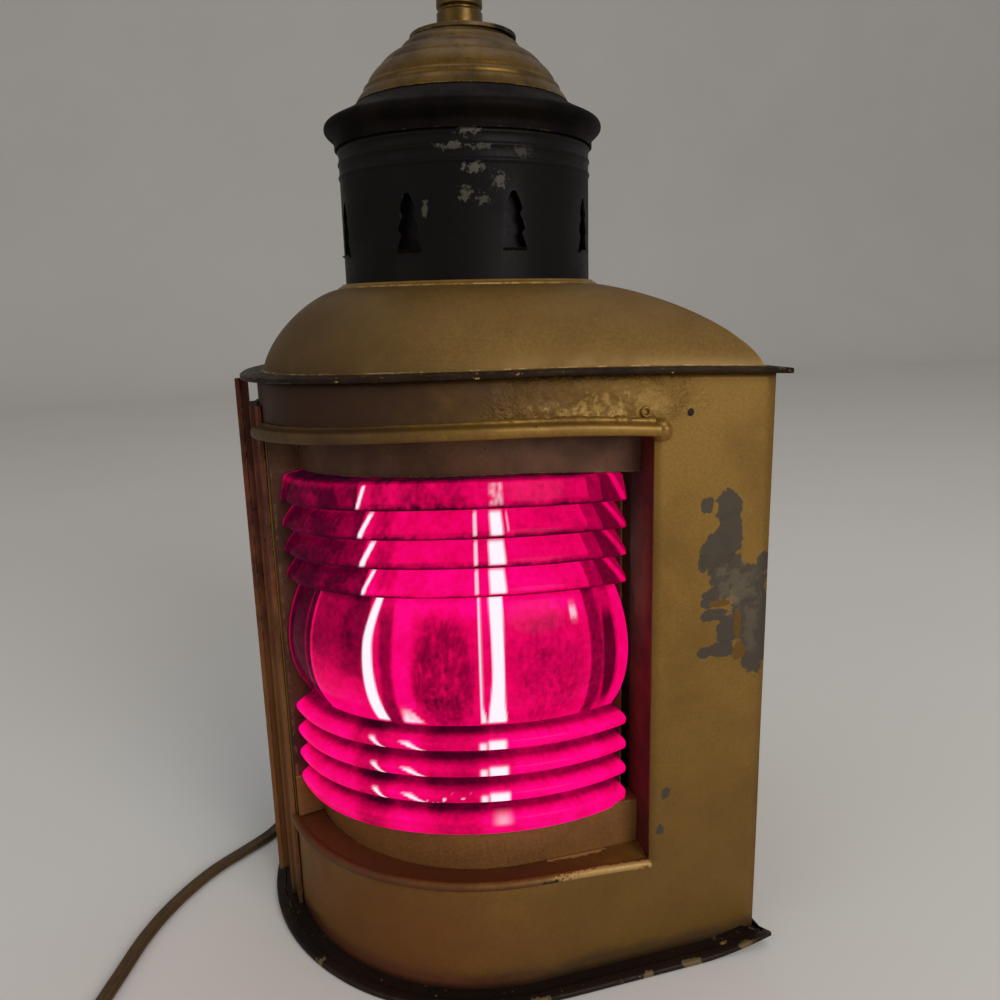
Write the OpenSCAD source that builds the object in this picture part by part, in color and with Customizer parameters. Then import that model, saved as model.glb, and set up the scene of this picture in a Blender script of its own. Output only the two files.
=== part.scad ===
// Combination bow lantern: one lamp behind a port lens and a starboard lens, wired for a bulb.
// Millimetres, +Z up. The bow points to -Y, port is +X, starboard is -X, the flat back faces +Y.
// The origin is on the underside of the base, on the common axis of the lenses and the chimney.

/* [Body] */
// Half width of the body, which is also the radius of its round bow
body_r = 88; // [86:0.5:92]
// Distance from the lens axis to the flat back
back_y = 91; // [88:0.5:100]
// Thickness of the sheet metal
sheet = 0.8; // [0.6:0.1:1]
// How far the base flange stands out at the sides and the bow
base_out = 10; // [6:0.5:14]
// How far the base flange stands out at the back
base_back = 2.5; // [1:0.5:6]
// Width of the hem folded along the base flange
hem_w = 4; // [2:0.5:5]
// Height of the hemmed edges of the base flange and the top plate
hem_h = 2.4; // [1.8:0.2:3.2]
// How far the top plate stands out at the sides and the bow
top_out = 6; // [4:0.5:8]
// How far the top plate stands out at the back
top_back = 3; // [1:0.5:5]

/* [Windows] */
// Height of the window sill
sill_z = 45; // [42:0.5:50]
// Height of the strip of the body over the window, on which the rain hood sits
head_h = 18.5; // [16:0.5:24]
// Distance behind the lens axis at which the window ends
jamb_y = 44; // [42:0.5:50]
// Half width of the bow post between the windows
post_half = 15; // [13:0.5:17]
// How far the rain hood stands out from the body
hood_out = 5; // [3:0.5:6]
// Height of the lip of the rain hood
hood_h = 4.4; // [2.6:0.2:5]
// How far the rolled rim of the sill stands out
rim_out = 2; // [1:0.5:3]

/* [Bow] */
// How far the bow post stands out from the body
post_out = 3.6; // [2.8:0.2:5]
// Depth of the fin that stands on the bow post
fin_d = 5; // [4:0.5:7]
// Gap between the top of the bow post and the top plate
post_gap = 12; // [8:1:16]

/* [Lenses] */
// Gap between the largest radius of a lens and the outside of the body
lens_gap = 2.5; // [2.5:0.5:5]
// Depth of the prisms and of the bulge
prism_d = 8; // [6:0.5:9]
// Thickness of the glass at the prism steps
lens_wall = 6; // [4:0.5:7]
// Height of one prism ring
prism_h = 10.5; // [10:0.1:11]
// Height of the bulged middle
bulge_h = 51; // [48:0.5:53]
// Height of the underside of the lens over the sill
lens_rise = 18.5; // [15:0.5:20]
// Height of the band between the top of the lens and the top plate
band_over = 33.5; // [30:0.5:38]
// Angle from the bow to the front edge of a lens
lens_bow = 12; // [11:0.5:14]
// Angle from the bow to the aft edge of a lens
lens_aft = 118; // [112:1:119]

/* [Roof and chimney] */
// Height of the roof dome above the body
dome_h = 31.5; // [28:0.5:36]
// How far the foot of the dome lies inside the body's outline
dome_inset = 3.5; // [2.5:0.5:5]
// Radius of the chimney
chimney_r = 50; // [47:0.5:53]
// Height of the chimney shell
chimney_h = 56.5; // [52:0.5:62]
// Number of vents round the chimney
vents = 8; // [6:1:10]
// Height of the crown, from the top of the chimney shell to the seat of the cap
crown_h = 17; // [14:0.5:20]
// How far the rolled brim stands out from the chimney
brim_out = 4; // [3:0.5:5]
// Radius of the foot of the stepped cap
cap_r = 39; // [37:0.5:41]
// Height of the stepped cap
cap_h = 20.4; // [18:0.4:24]
// Radius of the washer on the cap
washer_r = 21; // [18:0.5:22]
// Radius of the brass neck
neck_r = 9; // [8:0.5:10]
// Height of the brass neck
neck_h = 14; // [12:0.5:18]
// Height of the finial
finial_h = 24; // [20:1:28]

/* [Back door] */
// Half width of the doorway
doorway_half = 48; // [44:1:50]
// Height of the bottom of the doorway
doorway_z0 = 32; // [30:1:40]
// Distance from the top of the doorway to the top plate
door_head = 36; // [32:1:50]
// How far the door laps over the doorway all round
door_lap = 6; // [4:0.5:7]
// Length of the turn button
button_l = 30; // [26:1:34]

/* [Lamp] */
// Distance of the lamp behind the lens axis
lamp_y = 9; // [6:0.5:12]
// Radius of the lamp holder
holder_r = 17.5; // [17:0.5:19]
// Height of the lamp holder's shell
holder_h = 40; // [36:1:44]
// Radius of the bulb's screw base
screw_r = 13; // [12.5:0.1:13.1]
// Radius of the tubular bulb
bulb_r = 15; // [14:0.5:16]
// Length of the bulb's glass
bulb_l = 118; // [110:1:124]
// Height of the bracket that carries the lamp holder
bracket_h = 24; // [22:0.5:26]

/* [Cord] */
// Width of the flat two-core cord
cord_w = 6; // [5:0.5:6]
// Thickness of the flat two-core cord
cord_t = 3.2; // [2.6:0.2:3.2]
// Free length of the cord
cord_l = 1800; // [1780:10:1860]
// Height of the cord where it leaves the back
cord_z = 14; // [13:0.5:16]

/* [Hidden] */
$fn = 72;

gold = [0.49, 0.37, 0.16];
dark_gold = [0.4, 0.3, 0.15];
black = [0.06, 0.05, 0.05];
brass = [0.62, 0.47, 0.2];
steel = [0.5, 0.5, 0.48];
brown = [0.2, 0.13, 0.05];

// Clearances
seat = 0.1;        // between curved faces that are fixed to each other
free = 0.3;        // between faces that move past each other
run = 0.05;        // radial, of a shaft that turns in its hole
beyond = 1;        // how far a cut reaches past the faces that it opens

// Radii and heights that follow from the driving sizes
lens_out = body_r - lens_gap;
lens_step = lens_out - prism_d;
lens_in = lens_step - lens_wall;             // the smooth inner wall
band_r = lens_step - 1;                      // of the bands above and below the lenses
lens_z = sill_z + lens_rise;
lens_h = 8 * prism_h + bulge_h;
lens_z1 = lens_z + lens_h;
body_h = lens_z1 + band_over;                // height of the underside of the top plate
window_top = body_h - head_h;
doorway_z1 = body_h - door_head;
post_z1 = body_h - post_gap;
plate_z = body_h + hem_h;                    // top face of the top plate
dome_z = body_h + dome_h;                    // flat seat of the chimney on the dome
dome_hole_r = chimney_r - 5;
bead = 0.5;                                  // height of the beads round the chimney
chimney_z1 = dome_z + chimney_h;
crown_z1 = chimney_z1 + crown_h;             // flat seat of the stepped cap
cap_z1 = crown_z1 + sheet / 2 + cap_h;
washer_t = 1.6;
neck_z = cap_z1 + washer_t;
finial_z = neck_z + neck_h;

// The threaded nipples share one thread size, drawn as plain cylinders
pipe_r = 5;
pipe_bore = 3.5;
nut_af = 16;
nut_h = 5;

// Back door, hinges and turn button
door_y = back_y + free;
door_half = doorway_half + door_lap;
door_z0 = doorway_z0 - door_lap;
door_z1 = doorway_z1 + door_lap;
door_hem = 5;                                // width of the hem folded round the door
lip_h = 20;                                  // height of the finger lip
lip_out = 7;
knuckle_r = 2.3;
pin_r = 1.2;
hinge_x = -(door_half + knuckle_r + free);
hinge_y = back_y + knuckle_r + 0.2;
leaf_w = 13;
leaf_h = 30;
hinge_at = [door_z0 + 32, door_z1 - 32];     // mid height of each hinge
rivet_r = 1.4;
rivet_head = 2.6;
door_rivet_x = -(doorway_half - rivet_head - 1.2);   // the inner heads stay inside the doorway
button_t = 1.4;
button_w = 9;
button_x = door_half + 8;
button_z = (door_z0 + door_z1) / 2;
button_y = door_y + 2 * sheet + free;        // inner face of the button, clear of the door's hem
stud_r = 2;

// Lamp holder and bulb, from the bracket upward
bracket_w = 20;
bracket_half = 32;
bracket_t = 1.2;
bracket_z1 = bracket_h + bracket_t;
cap_foot = 12;                               // height of the holder's cap
shell_z = bracket_z1 + cap_foot;
screw_z = shell_z + 12;
screw_h = 26;
key_z = shell_z + 6;
key_shaft = 1.6;
key_l = 22;

// Strain relief in the back plate
bushing_r = 7;
bushing_l = 24;
bushing_y = back_y + bushing_l;

// The cord lies on the table: round the starboard side, past the bow and out to the coil.
route = [
    [0, bushing_y, cord_z], [0, 120, cord_z], [-1, 129, 12], [-4, 138, 8], [-10, 147, 4],
    [-20, 154, 2], [-33, 158, 1.7], [-48, 158, 1.7], [-64, 155, 1.7], [-80, 149, 1.7],
    [-95, 140, 1.7], [-108, 128, 1.7], [-118, 114, 1.7], [-125, 98, 1.7], [-129, 81, 1.7],
    [-131, 64, 1.7], [-132, 47, 1.7], [-132, 30, 1.7], [-131, 13, 1.7], [-128, -4, 1.7],
    [-123, -20, 1.7], [-115, -35, 1.7], [-105, -49, 1.7], [-93, -61, 1.7], [-79, -72, 1.7],
    [-66, -82, 1.7], [-53, -91, 1.7], [-40, -100, 1.7], [-30, -112, 1.7], [-20, -125, 1.7],
    [-8, -136, 1.7], [5, -145, 1.7], [19, -152, 1.7], [33, -157, 1.7], [47, -162, 1.7],
    [62, -167, 1.8], [78, -172.5, 2.1], [94, -178, 2.3], [106, -182, 2.3]];
// The lead inside the body lies in the plane X = 0: out of the bushing, over the floor, up to the nipple.
nipple_z0 = bracket_h - 13;
lead = [
    [0, back_y - 2, cord_z], [0, 84, cord_z], [0, 76, 11], [0, 68, 6.5], [0, 60, 4],
    [0, 48, 3.2], [0, 36, 3.1], [0, 25, 3.1], [0, 17, 4], [0, 11.5, 6.5],
    [0, lamp_y, 10], [0, lamp_y, bracket_z1 + 2]];

// Coil of the length that isn't in use: in and out again in two layers
tie_t = 0.6;
coil_turns = 6;
coil_steps = 24;
coil_pitch = cord_w + 0.6;
coil_rise = cord_t + 0.5;
end_l = cord_w;                              // straight end of the coil, square to what it meets
tail_l = 32;                                 // straight to the plug, which clears the coil's side
run_end = route[len(route) - 1];
run_dir = unit(run_end - route[len(route) - 2]);
run_l = path_length(route);
coil_mid_r = (cord_l - run_l - end_l - tail_l) / (coil_turns * 2 * PI);
coil_r = coil_mid_r + coil_pitch * coil_turns / 4;
coil_a = atan2(-run_dir.x, run_dir.y);       // angle of the first loop's start, seen from the centre
coil_c = [run_end.x, run_end.y] + end_l * [run_dir.x, run_dir.y] - coil_r * [cos(coil_a), sin(coil_a)];
coil_z = run_end.z;
coil_points = [for (i = [0 : coil_turns * coil_steps]) coil_point(i / coil_steps)];
tail_dir = [-sin(coil_a), cos(coil_a), 0];
coil_path = concat([run_end], coil_points, [coil_points[len(coil_points) - 1] + tail_l * tail_dir]);
plug_at = coil_path[len(coil_path) - 1];
plug_l = 26;
plug_w = 25;
plug_h = 2 * plug_at.z;
blade_gap = 12.7;
blade_l = 16;

function unit(v) = v / norm(v);
function path_length(p) = len(p) < 2 ? 0 : sum_lengths(p, 1, 0);
function sum_lengths(p, i, total) =
    i >= len(p) ? total : sum_lengths(p, i + 1, total + norm(p[i] - p[i - 1]));
function smooth(x) = x <= 0 ? 0 : x >= 1 ? 1 : x * x * (3 - 2 * x);
function flat(steps) = [for (s = steps) each s];

// One point of the coil after s turns
function coil_radius(s) = coil_r - coil_pitch * (coil_turns / 2 - abs(s - coil_turns / 2));
function coil_height(s) = coil_z + coil_rise * smooth((s - coil_turns / 2) * 2 + 0.5);
function coil_point(s) = [
    coil_c.x + coil_radius(s) * cos(coil_a + 360 * s),
    coil_c.y + coil_radius(s) * sin(coil_a + 360 * s),
    coil_height(s)];

// Least gap between loops, on points of both sections at the same angle of the coil
function oval(s, a) = [
    coil_radius(s) + cord_w / 2 * cos(a),
    coil_height(s) + cord_t / 2 * sin(a)];
function loop_gap(s, t) = min([for (a = [0 : 30 : 330], b = [0 : 30 : 330]) norm(oval(s, a) - oval(t, b))]);
function coil_gap() = min([
    for (i = [0 : 2 : (coil_turns - 1) * coil_steps])
        for (k = [1 : coil_turns])
            if (i / coil_steps + k <= coil_turns) loop_gap(i / coil_steps, i / coil_steps + k)]);

// Points of a sheet of the given thickness, drawn inward from the right of an outer path
function edge_normal(a, b) = let (d = unit(b - a)) [-d.y, d.x];
function corner(p, i) =
    i == 0 ? edge_normal(p[0], p[1])
    : i == len(p) - 1 ? edge_normal(p[i - 1], p[i])
    : let (m = unit(edge_normal(p[i - 1], p[i]) + edge_normal(p[i], p[i + 1])))
        m / max(0.5, m * edge_normal(p[i], p[i + 1]));
function sheet_section(p, t) = concat(p, [for (i = [len(p) - 1 : -1 : 0]) p[i] + t * corner(p, i)]);

// Plan of the body: round at the bow, straight sides, square at the back
module d_plan(out, back) {
    intersection() {
        circle(r = body_r + out);
        translate([-2 * body_r, -2 * body_r]) square([4 * body_r, 2 * body_r]);
    }
    translate([-body_r - out, 0]) square([2 * (body_r + out), back_y + back]);
}

// The same plan for the bands and shelves round the lenses, which end at the jambs
module inner_plan(r, y1) {
    intersection() {
        circle(r = r);
        translate([-2 * r, -2 * r]) square([4 * r, 2 * r]);
    }
    translate([-r, 0]) square([2 * r, y1]);
}

// Keeps what lies on the port side, outboard of the bow post
module port_side(x0, y1) {
    intersection() {
        children();
        translate([x0, -2 * body_r]) square([2 * body_r, 2 * body_r + y1]);
    }
}

module starboard() {
    mirror([1, 0, 0]) children();
}

module base_plate() color(black) {
    linear_extrude(sheet) d_plan(base_out, base_back);
    linear_extrude(hem_h) difference() {
        d_plan(base_out, base_back);
        d_plan(base_out - hem_w, base_back - hem_w / 2);
    }
}

module body_shell() color(gold) difference() {
    translate([0, 0, sheet]) linear_extrude(body_h - sheet) difference() {
        d_plan(0, 0);
        d_plan(-sheet, beyond);
    }
    for (side = [0, 1]) mirror([side, 0, 0])
        translate([post_half, -2 * body_r, sill_z - sheet])
            cube([2 * body_r, 2 * body_r + jamb_y, window_top - sill_z + sheet]);
}

module back_frame() color(gold) difference() {
    translate([-body_r + sheet, back_y - sheet, sheet])
        cube([2 * (body_r - sheet), sheet, body_h - sheet]);
    translate([-doorway_half, back_y - sheet - beyond, doorway_z0])
        cube([2 * doorway_half, sheet + 2 * beyond, doorway_z1 - doorway_z0]);
    translate([0, back_y + beyond, cord_z]) rotate([90, 0, 0])
        cylinder(r = bushing_r - 2 + seat, h = sheet + 2 * beyond);
    translate([button_x, back_y + beyond, button_z]) rotate([90, 0, 0])
        cylinder(r = stud_r + run, h = sheet + 2 * beyond);
    for (p = frame_rivet_places()) translate([p.x, back_y + beyond, p.y]) rotate([90, 0, 0])
        cylinder(r = rivet_r + run, h = sheet + 2 * beyond);
}

// Ring that closes the body, reaches in over the upper band and carries the dome
module top_plate() color(dark_gold) translate([0, 0, body_h]) linear_extrude(hem_h) difference() {
    inner = body_r - band_r + 3;
    d_plan(top_out, top_back);
    d_plan(-inner, -inner);
}

// Outline of the body at an angle from the bow toward port, as a distance from the axis
function d_reach(a, out, back) =
    abs(a) <= 90 ? body_r + out
    : min((body_r + out) / abs(sin(a)), (back_y + back) / -cos(a));
corner_a = 90 + atan((back_y - dome_inset) / (body_r - dome_inset));
dome_angles = concat(
    [for (a = [-90 : 7.5 : 90]) a],
    [for (i = [1 : 6]) 90 + (corner_a - 90) * i / 6],
    [for (i = [1 : 11]) corner_a + (360 - 2 * corner_a) * i / 12],
    [for (i = [0 : 5]) 360 - corner_a + (corner_a - 90) * i / 6]);
dome_steps = 8;
dome_shape = 1.45;                           // 1 is a cone, 2 is a quarter ellipse

function dome_ring(inset, rise, k) =
    let (a = 90 * k / dome_steps,
         u = 1 - pow(cos(a), 2 / dome_shape),
         v = pow(sin(a), 2 / dome_shape),
         top_r = chimney_r + 3)
    [for (q = dome_angles)
        let (r = d_reach(q > 180 ? q - 360 : q, -inset, -inset) * (1 - u) + top_r * u)
        [r * sin(q), -r * cos(q), plate_z + rise * v]];
function flat_ring(r, z) = [for (q = dome_angles) [r * sin(q), -r * cos(q), z]];

module roof_dome() color(gold) {
    rise = dome_z - plate_z;
    n = len(dome_angles);
    rings = concat(
        [for (k = [0 : dome_steps]) dome_ring(dome_inset, rise, k)],
        [flat_ring(dome_hole_r, dome_z), flat_ring(dome_hole_r, dome_z - sheet)],
        [for (k = [dome_steps : -1 : 0]) dome_ring(dome_inset + sheet, rise - sheet, k)]);
    m = len(rings);
    polyhedron(
        points = flat(rings),
        faces = [for (j = [0 : m - 1], i = [0 : n - 1])
            let (i2 = (i + 1) % n, j2 = (j + 1) % m)
            each [[j * n + i, j2 * n + i, j * n + i2], [j * n + i2, j2 * n + i, j2 * n + i2]]],
        convexity = 8);
}

// Rain hood: a strip along the head of the window, in three layers for its rounded lip,
// with a lump of solder at its aft end
module hood() color(gold) {
    edge = 0.8;
    layers = [[0, edge, hood_out - edge], [edge, hood_h - edge, hood_out], [hood_h - edge, hood_h, hood_out - edge]];
    lump_r = hood_h / 2 + 1.2;
    for (l = layers) translate([0, 0, window_top + l[0]]) linear_extrude(l[1] - l[0])
        port_side(post_half + 1.5, jamb_y) difference() {
            d_plan(l[2], 0);
            d_plan(seat, 0);
        }
    translate([body_r + seat, jamb_y + lump_r * 0.6, window_top + hood_h / 2]) rotate([0, 90, 0])
        cylinder(r = lump_r, h = hood_out + 0.5);
}

// Shelf from the foot of the window in to the lower band, with a rolled rim
module sill() color(gold) {
    translate([0, 0, sill_z - sheet]) linear_extrude(sheet) port_side(post_half + seat, jamb_y) {
        difference() {
            d_plan(rim_out, 0);
            inner_plan(band_r + seat, jamb_y + beyond);
        }
    }
    translate([0, 0, sill_z - 2.2]) linear_extrude(3) port_side(post_half + seat, jamb_y) {
        difference() {
            d_plan(rim_out, 0);
            d_plan(seat, 0);
        }
    }
}

module jamb() color(gold)
    translate([lens_in - 4, jamb_y, sill_z - sheet])
        cube([body_r - sheet - lens_in + 4, sheet, window_top - sill_z + sheet]);

// Post over the bow strip of the body: a wide strip with a narrower one on it
module post_strip(half, r0, r1) translate([0, 0, sheet]) linear_extrude(post_z1 - sheet) intersection() {
    difference() {
        circle(r = r1);
        circle(r = r0);
    }
    translate([-half, -2 * body_r]) square([2 * half, 2 * body_r]);
}

module bow_post() color(dark_gold) {
    post_strip(post_half, body_r + seat, body_r + post_out / 2);
    post_strip(post_half / 2, body_r + post_out / 2 - seat, body_r + post_out);
}

// Fin: a strip that stands up from the post, with a thicker hem along its front edge
module bow_fin() color(dark_gold) {
    fin_y = -body_r - post_out - seat;
    fin_t = 1.2;
    fin_hem = 2.8;
    z0 = 10;
    z1 = body_h - 2;
    translate([-fin_t / 2, fin_y - fin_d, z0]) cube([fin_t, fin_d, z1 - z0]);
    translate([-fin_hem / 2, fin_y - fin_d, z0]) cube([fin_hem, 2, z1 - z0]);
}

// Band under the lenses: a wall, and the ledge on which the lenses stand
module lower_lens_band() color(gold) {
    wall_z = sill_z - sheet;
    translate([0, 0, wall_z]) linear_extrude(lens_z - wall_z) difference() {
        inner_plan(band_r, jamb_y);
        inner_plan(band_r - sheet, jamb_y + beyond);
    }
    translate([0, 0, lens_z - sheet]) linear_extrude(sheet) band_ledge();
}

// Band over the lenses, which hangs from the top plate
module upper_lens_band() color(gold) {
    translate([0, 0, lens_z1]) linear_extrude(body_h - lens_z1) difference() {
        inner_plan(band_r, jamb_y);
        inner_plan(band_r - sheet, jamb_y + beyond);
    }
    translate([0, 0, lens_z1]) linear_extrude(sheet) band_ledge();
}

module band_ledge() {
    difference() {
        inner_plan(band_r, jamb_y);
        circle(r = lens_in - 6);
        translate([-lens_in, lens_in * -cos(lens_aft)]) square([2 * lens_in, 2 * lens_in]);
    }
    for (side = [0, 1]) mirror([side, 0])
        translate([lens_in - 4, lens_in * -cos(lens_aft)])
            square([band_r - lens_in + 4, jamb_y - lens_in * -cos(lens_aft)]);
}

// Channel behind the bow post that keeps the front edges of both lenses apart
module lens_divider() color(dark_gold) {
    half = lens_bow - 0.15;
    r0 = lens_in - 3;
    r1 = lens_out + 1.4;
    path = [for (p = [[r0, -half], [r1, -half], [r1, half], [r0, half]]) p[0] * [sin(p[1]), -cos(p[1])]];
    translate([0, 0, lens_z]) linear_extrude(lens_h) polygon(sheet_section(path, sheet));
}

// Section of a lens: four prism rings, a bulged middle, four prism rings; the end rings keep their full width
bulge_steps = 10;
function bulge_r(v) =
    let (rise = lens_out - lens_step,
         big = (bulge_h * bulge_h / 4 + rise * rise) / (2 * rise))
    lens_step + sqrt(big * big - v * v) - (big - rise);
lens_section = concat(
    [[lens_in, 0]],
    [for (i = [0 : 3]) each [[i == 0 ? lens_out - 3 : lens_step, i * prism_h], [lens_out - 1, (i + 1) * prism_h]]],
    [for (i = [0 : bulge_steps])
        let (v = -bulge_h / 2 + bulge_h * i / bulge_steps)
        [bulge_r(v), 4 * prism_h + bulge_h / 2 + v]],
    [for (i = [0 : 3])
        let (z = 4 * prism_h + bulge_h + i * prism_h)
        each [[lens_out - 1, z], [i == 3 ? lens_out - 3 : lens_step, z + prism_h]]],
    [[lens_in, lens_h]]);

module lens() rotate([0, 0, -90 + lens_bow]) translate([0, 0, lens_z])
    rotate_extrude(angle = lens_aft - lens_bow) polygon(lens_section);

// Strip soldered between the ledges, which holds the aft edge of a lens
module lens_strip() color(dark_gold)
    rotate([0, 0, lens_aft + 0.2]) translate([0, -lens_step - 4, lens_z])
        cube([sheet, 12, lens_h]);

module chimney_collar() color(gold) translate([0, 0, dome_z])
    rotate_extrude() polygon([
        [chimney_r + seat, 0], [chimney_r + 2.4, 0], [chimney_r + 2.7, 1], [chimney_r + 2.1, 2.2],
        [chimney_r + 1, 2.8], [chimney_r + seat, 2.8]]);

// Outline of a vent: a pointed shape of three tiers
vent_half = [[5, 0], [4.8, 1.6], [2.9, 6.2], [4.3, 7.6], [3.9, 9.6], [2.2, 12.9], [3.4, 14.2],
    [2.6, 17], [0.8, 20.5]];
vent_outline = concat(vent_half, [for (i = [len(vent_half) - 1 : -1 : 0]) [-vent_half[i].x, vent_half[i].y]]);
vent_z = 11.8;
vent_turn = 7;                               // angle from the bow to the first vent

module chimney_shell() color(black) difference() {
    bead_z = [42.5, 47.5, 52];
    outer = concat(
        [[chimney_r, 0]],
        [for (z = bead_z) each [
            [chimney_r, z - 1.2], [chimney_r + bead, z - 0.4], [chimney_r + bead, z + 0.4],
            [chimney_r, z + 1.2]]],
        [[chimney_r, chimney_h]]);
    translate([0, 0, dome_z]) rotate_extrude()
        polygon(concat(outer, [[chimney_r - sheet, chimney_h], [chimney_r - sheet, 0]]));
    for (i = [0 : vents - 1]) rotate([0, 0, vent_turn + 360 * i / vents])
        translate([0, -chimney_r + 4, dome_z + vent_z]) rotate([90, 0, 0])
            linear_extrude(8) polygon(vent_outline);
}

// Crown: a skirt round the chimney, the rolled brim, and the slope in to the seat of the cap
module chimney_crown() color(black) {
    skirt_r = chimney_r + bead + seat + sheet;
    skirt_h = 3.5;
    brim_r = chimney_r + brim_out;
    brim_z = chimney_z1 + crown_h * 0.35;    // mid height of the rolled brim
    top = crown_z1 + sheet / 2;
    path = [
        [skirt_r, chimney_z1 - skirt_h], [skirt_r, chimney_z1 + 1], [brim_r - 0.5, brim_z - 2],
        [brim_r, brim_z - 0.7], [brim_r, brim_z + 0.7], [brim_r - 0.6, brim_z + 1.9],
        [brim_r - 2, brim_z + 2.7], [brim_r - 6, brim_z + 4.9], [cap_r + 3, top - 1.6],
        [cap_r + 0.6, top], [cap_r - 6, top]];
    rotate_extrude() polygon(sheet_section(path, sheet));
}

// Stepped cap: three tiers that end in a flat top with a hole for the nipple
module cap_dome() color(gold) {
    top_r = washer_r - 1.4;
    steps = [[1, 0], [1, 0.06], [0.98, 0.1], [0.92, 0.12], [0.89, 0.22], [0.81, 0.33], [0.72, 0.42], [0.66, 0.46],
        [0.62, 0.52], [0.5, 0.63], [0.36, 0.71], [0.26, 0.75], [0.22, 0.81], [0.155, 0.89], [0.06, 0.94],
        [0, 1]];
    foot = crown_z1 + sheet / 2;
    path = [for (p = steps) [top_r + (cap_r - top_r) * p[0], foot + cap_h * p[1]]];
    rotate_extrude() polygon(sheet_section(concat(path, [[pipe_r + run, foot + cap_h]]), sheet));
}

module cap_washer() color(black) translate([-0.8, 1.2, cap_z1]) difference() {
    cylinder(r = washer_r, h = washer_t);
    translate([0, 0, -beyond]) cylinder(r = pipe_r + 2, h = washer_t + 2 * beyond);
}

module brass_neck() color(brass) translate([0, 0, neck_z]) rotate_extrude() polygon([
    [pipe_r + run, 0], [neck_r + 0.6, 0], [neck_r + 0.6, 1.4], [neck_r, 1.9], [neck_r, neck_h - 6],
    [neck_r - 1.2, neck_h - 5.4], [neck_r - 1.2, neck_h - 4.6], [neck_r, neck_h - 4],
    [neck_r, neck_h - 0.8], [neck_r - 0.8, neck_h], [pipe_r + run, neck_h]]);

// Finial: a cap nut with a turned ball
module finial() color(brass) translate([0, 0, finial_z]) {
    bore_h = 9;
    ball_r = 6.4;
    difference() {
        union() {
            rotate_extrude() polygon([
                [0, 0], [7.6, 0], [8, 1], [7.6, 2.2], [6.4, 3], [6.4, 9.6], [7.2, 10.4], [7, 11.6],
                [4.4, 12.6], [3.4, 14], [0, 14]]);
            translate([0, 0, finial_h - ball_r]) sphere(r = ball_r);
        }
        translate([0, 0, -beyond]) cylinder(r = pipe_r + run, h = bore_h + beyond);
    }
}

module pipe(z0, z1) difference() {
    translate([0, 0, z0]) cylinder(r = pipe_r, h = z1 - z0);
    translate([0, 0, z0 - beyond]) cylinder(r = pipe_bore, h = z1 - z0 + 2 * beyond);
}

module hex_nut(z) difference() {
    translate([0, 0, z]) cylinder(r = nut_af / sqrt(3), h = nut_h, $fn = 6);
    translate([0, 0, z - beyond]) cylinder(r = pipe_r + run, h = nut_h + 2 * beyond);
}

module neck_nipple() color(brass) pipe(cap_z1 - sheet - nut_h - 3, finial_z + 8);

module neck_nut() color(brass) hex_nut(cap_z1 - sheet - nut_h);

// Bracket: a strip bent into a bridge, with its feet on the floor of the body
module holder_bracket() color(steel) translate([0, lamp_y, 0]) difference() {
    translate([0, bracket_w / 2, 0]) rotate([90, 0, 0]) linear_extrude(bracket_w)
        for (side = [0, 1]) mirror([side, 0]) {
            translate([bracket_half - 10, sheet]) square([10, bracket_t]);
            translate([bracket_half - 10, sheet]) square([bracket_t, bracket_z1 - sheet]);
            translate([0, bracket_h]) square([bracket_half - 10 + bracket_t, bracket_t]);
        }
    translate([0, 0, bracket_h - beyond]) cylinder(r = pipe_r + run, h = bracket_t + 2 * beyond);
}

module holder_nipple() color(brass) translate([0, lamp_y, 0]) pipe(nipple_z0, bracket_z1 + 5);

module holder_nut() color(brass) translate([0, lamp_y, 0]) hex_nut(bracket_h - nut_h);

// Cup of the lamp holder, screwed on the nipple
module holder_cap() color(brass) translate([0, lamp_y, bracket_z1]) rotate_extrude()
    polygon(sheet_section([
        [holder_r + 0.4, cap_foot + 3], [holder_r + 0.4, cap_foot - 1], [holder_r - 1, cap_foot - 4.5],
        [holder_r - 5, 4.4], [pipe_r + 4, 2.6], [pipe_r + 4, 0], [pipe_r + run, 0]], -sheet));

module holder_shell() color(brass) translate([0, lamp_y, shell_z]) difference() {
    rotate_extrude() polygon([
        [holder_r - 1.3, 0], [holder_r - 0.5, 0], [holder_r - 0.5, holder_h - 6],
        [holder_r, holder_h - 5], [holder_r, holder_h - 1.6], [holder_r + 0.6, holder_h - 0.8],
        [holder_r, holder_h], [holder_r - 1.3, holder_h]]);
    translate([0, 0, key_z - shell_z]) rotate([-90, 0, 0])
        cylinder(r = key_shaft + run, h = holder_r + beyond);
}

// Insulating core with the screw shell's bore
module holder_core() color([0.25, 0.2, 0.16]) translate([0, lamp_y, shell_z]) difference() {
    core_r = holder_r - 1.3 - seat;
    cylinder(r = core_r, h = holder_h - 1);
    translate([0, 0, screw_z - shell_z]) cylinder(r = screw_r + 2 * seat, h = holder_h);
    translate([0, 0, key_z - shell_z]) rotate([-90, 0, 0]) cylinder(r = key_shaft + run, h = core_r + beyond);
}

// Turn key of the switch: a shaft that points to the back door, and a flat rounded paddle
module turn_key() color([0.12, 0.1, 0.09]) translate([0, lamp_y, key_z]) rotate([-90, 0, 0]) {
    paddle_r = 7;
    paddle_t = 3;
    translate([0, 0, free]) cylinder(r = key_shaft, h = holder_r + key_l - paddle_r - free);
    translate([0, paddle_t / 2, holder_r + key_l - paddle_r]) rotate([90, 0, 0])
        cylinder(r = paddle_r, h = paddle_t);
}

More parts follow.
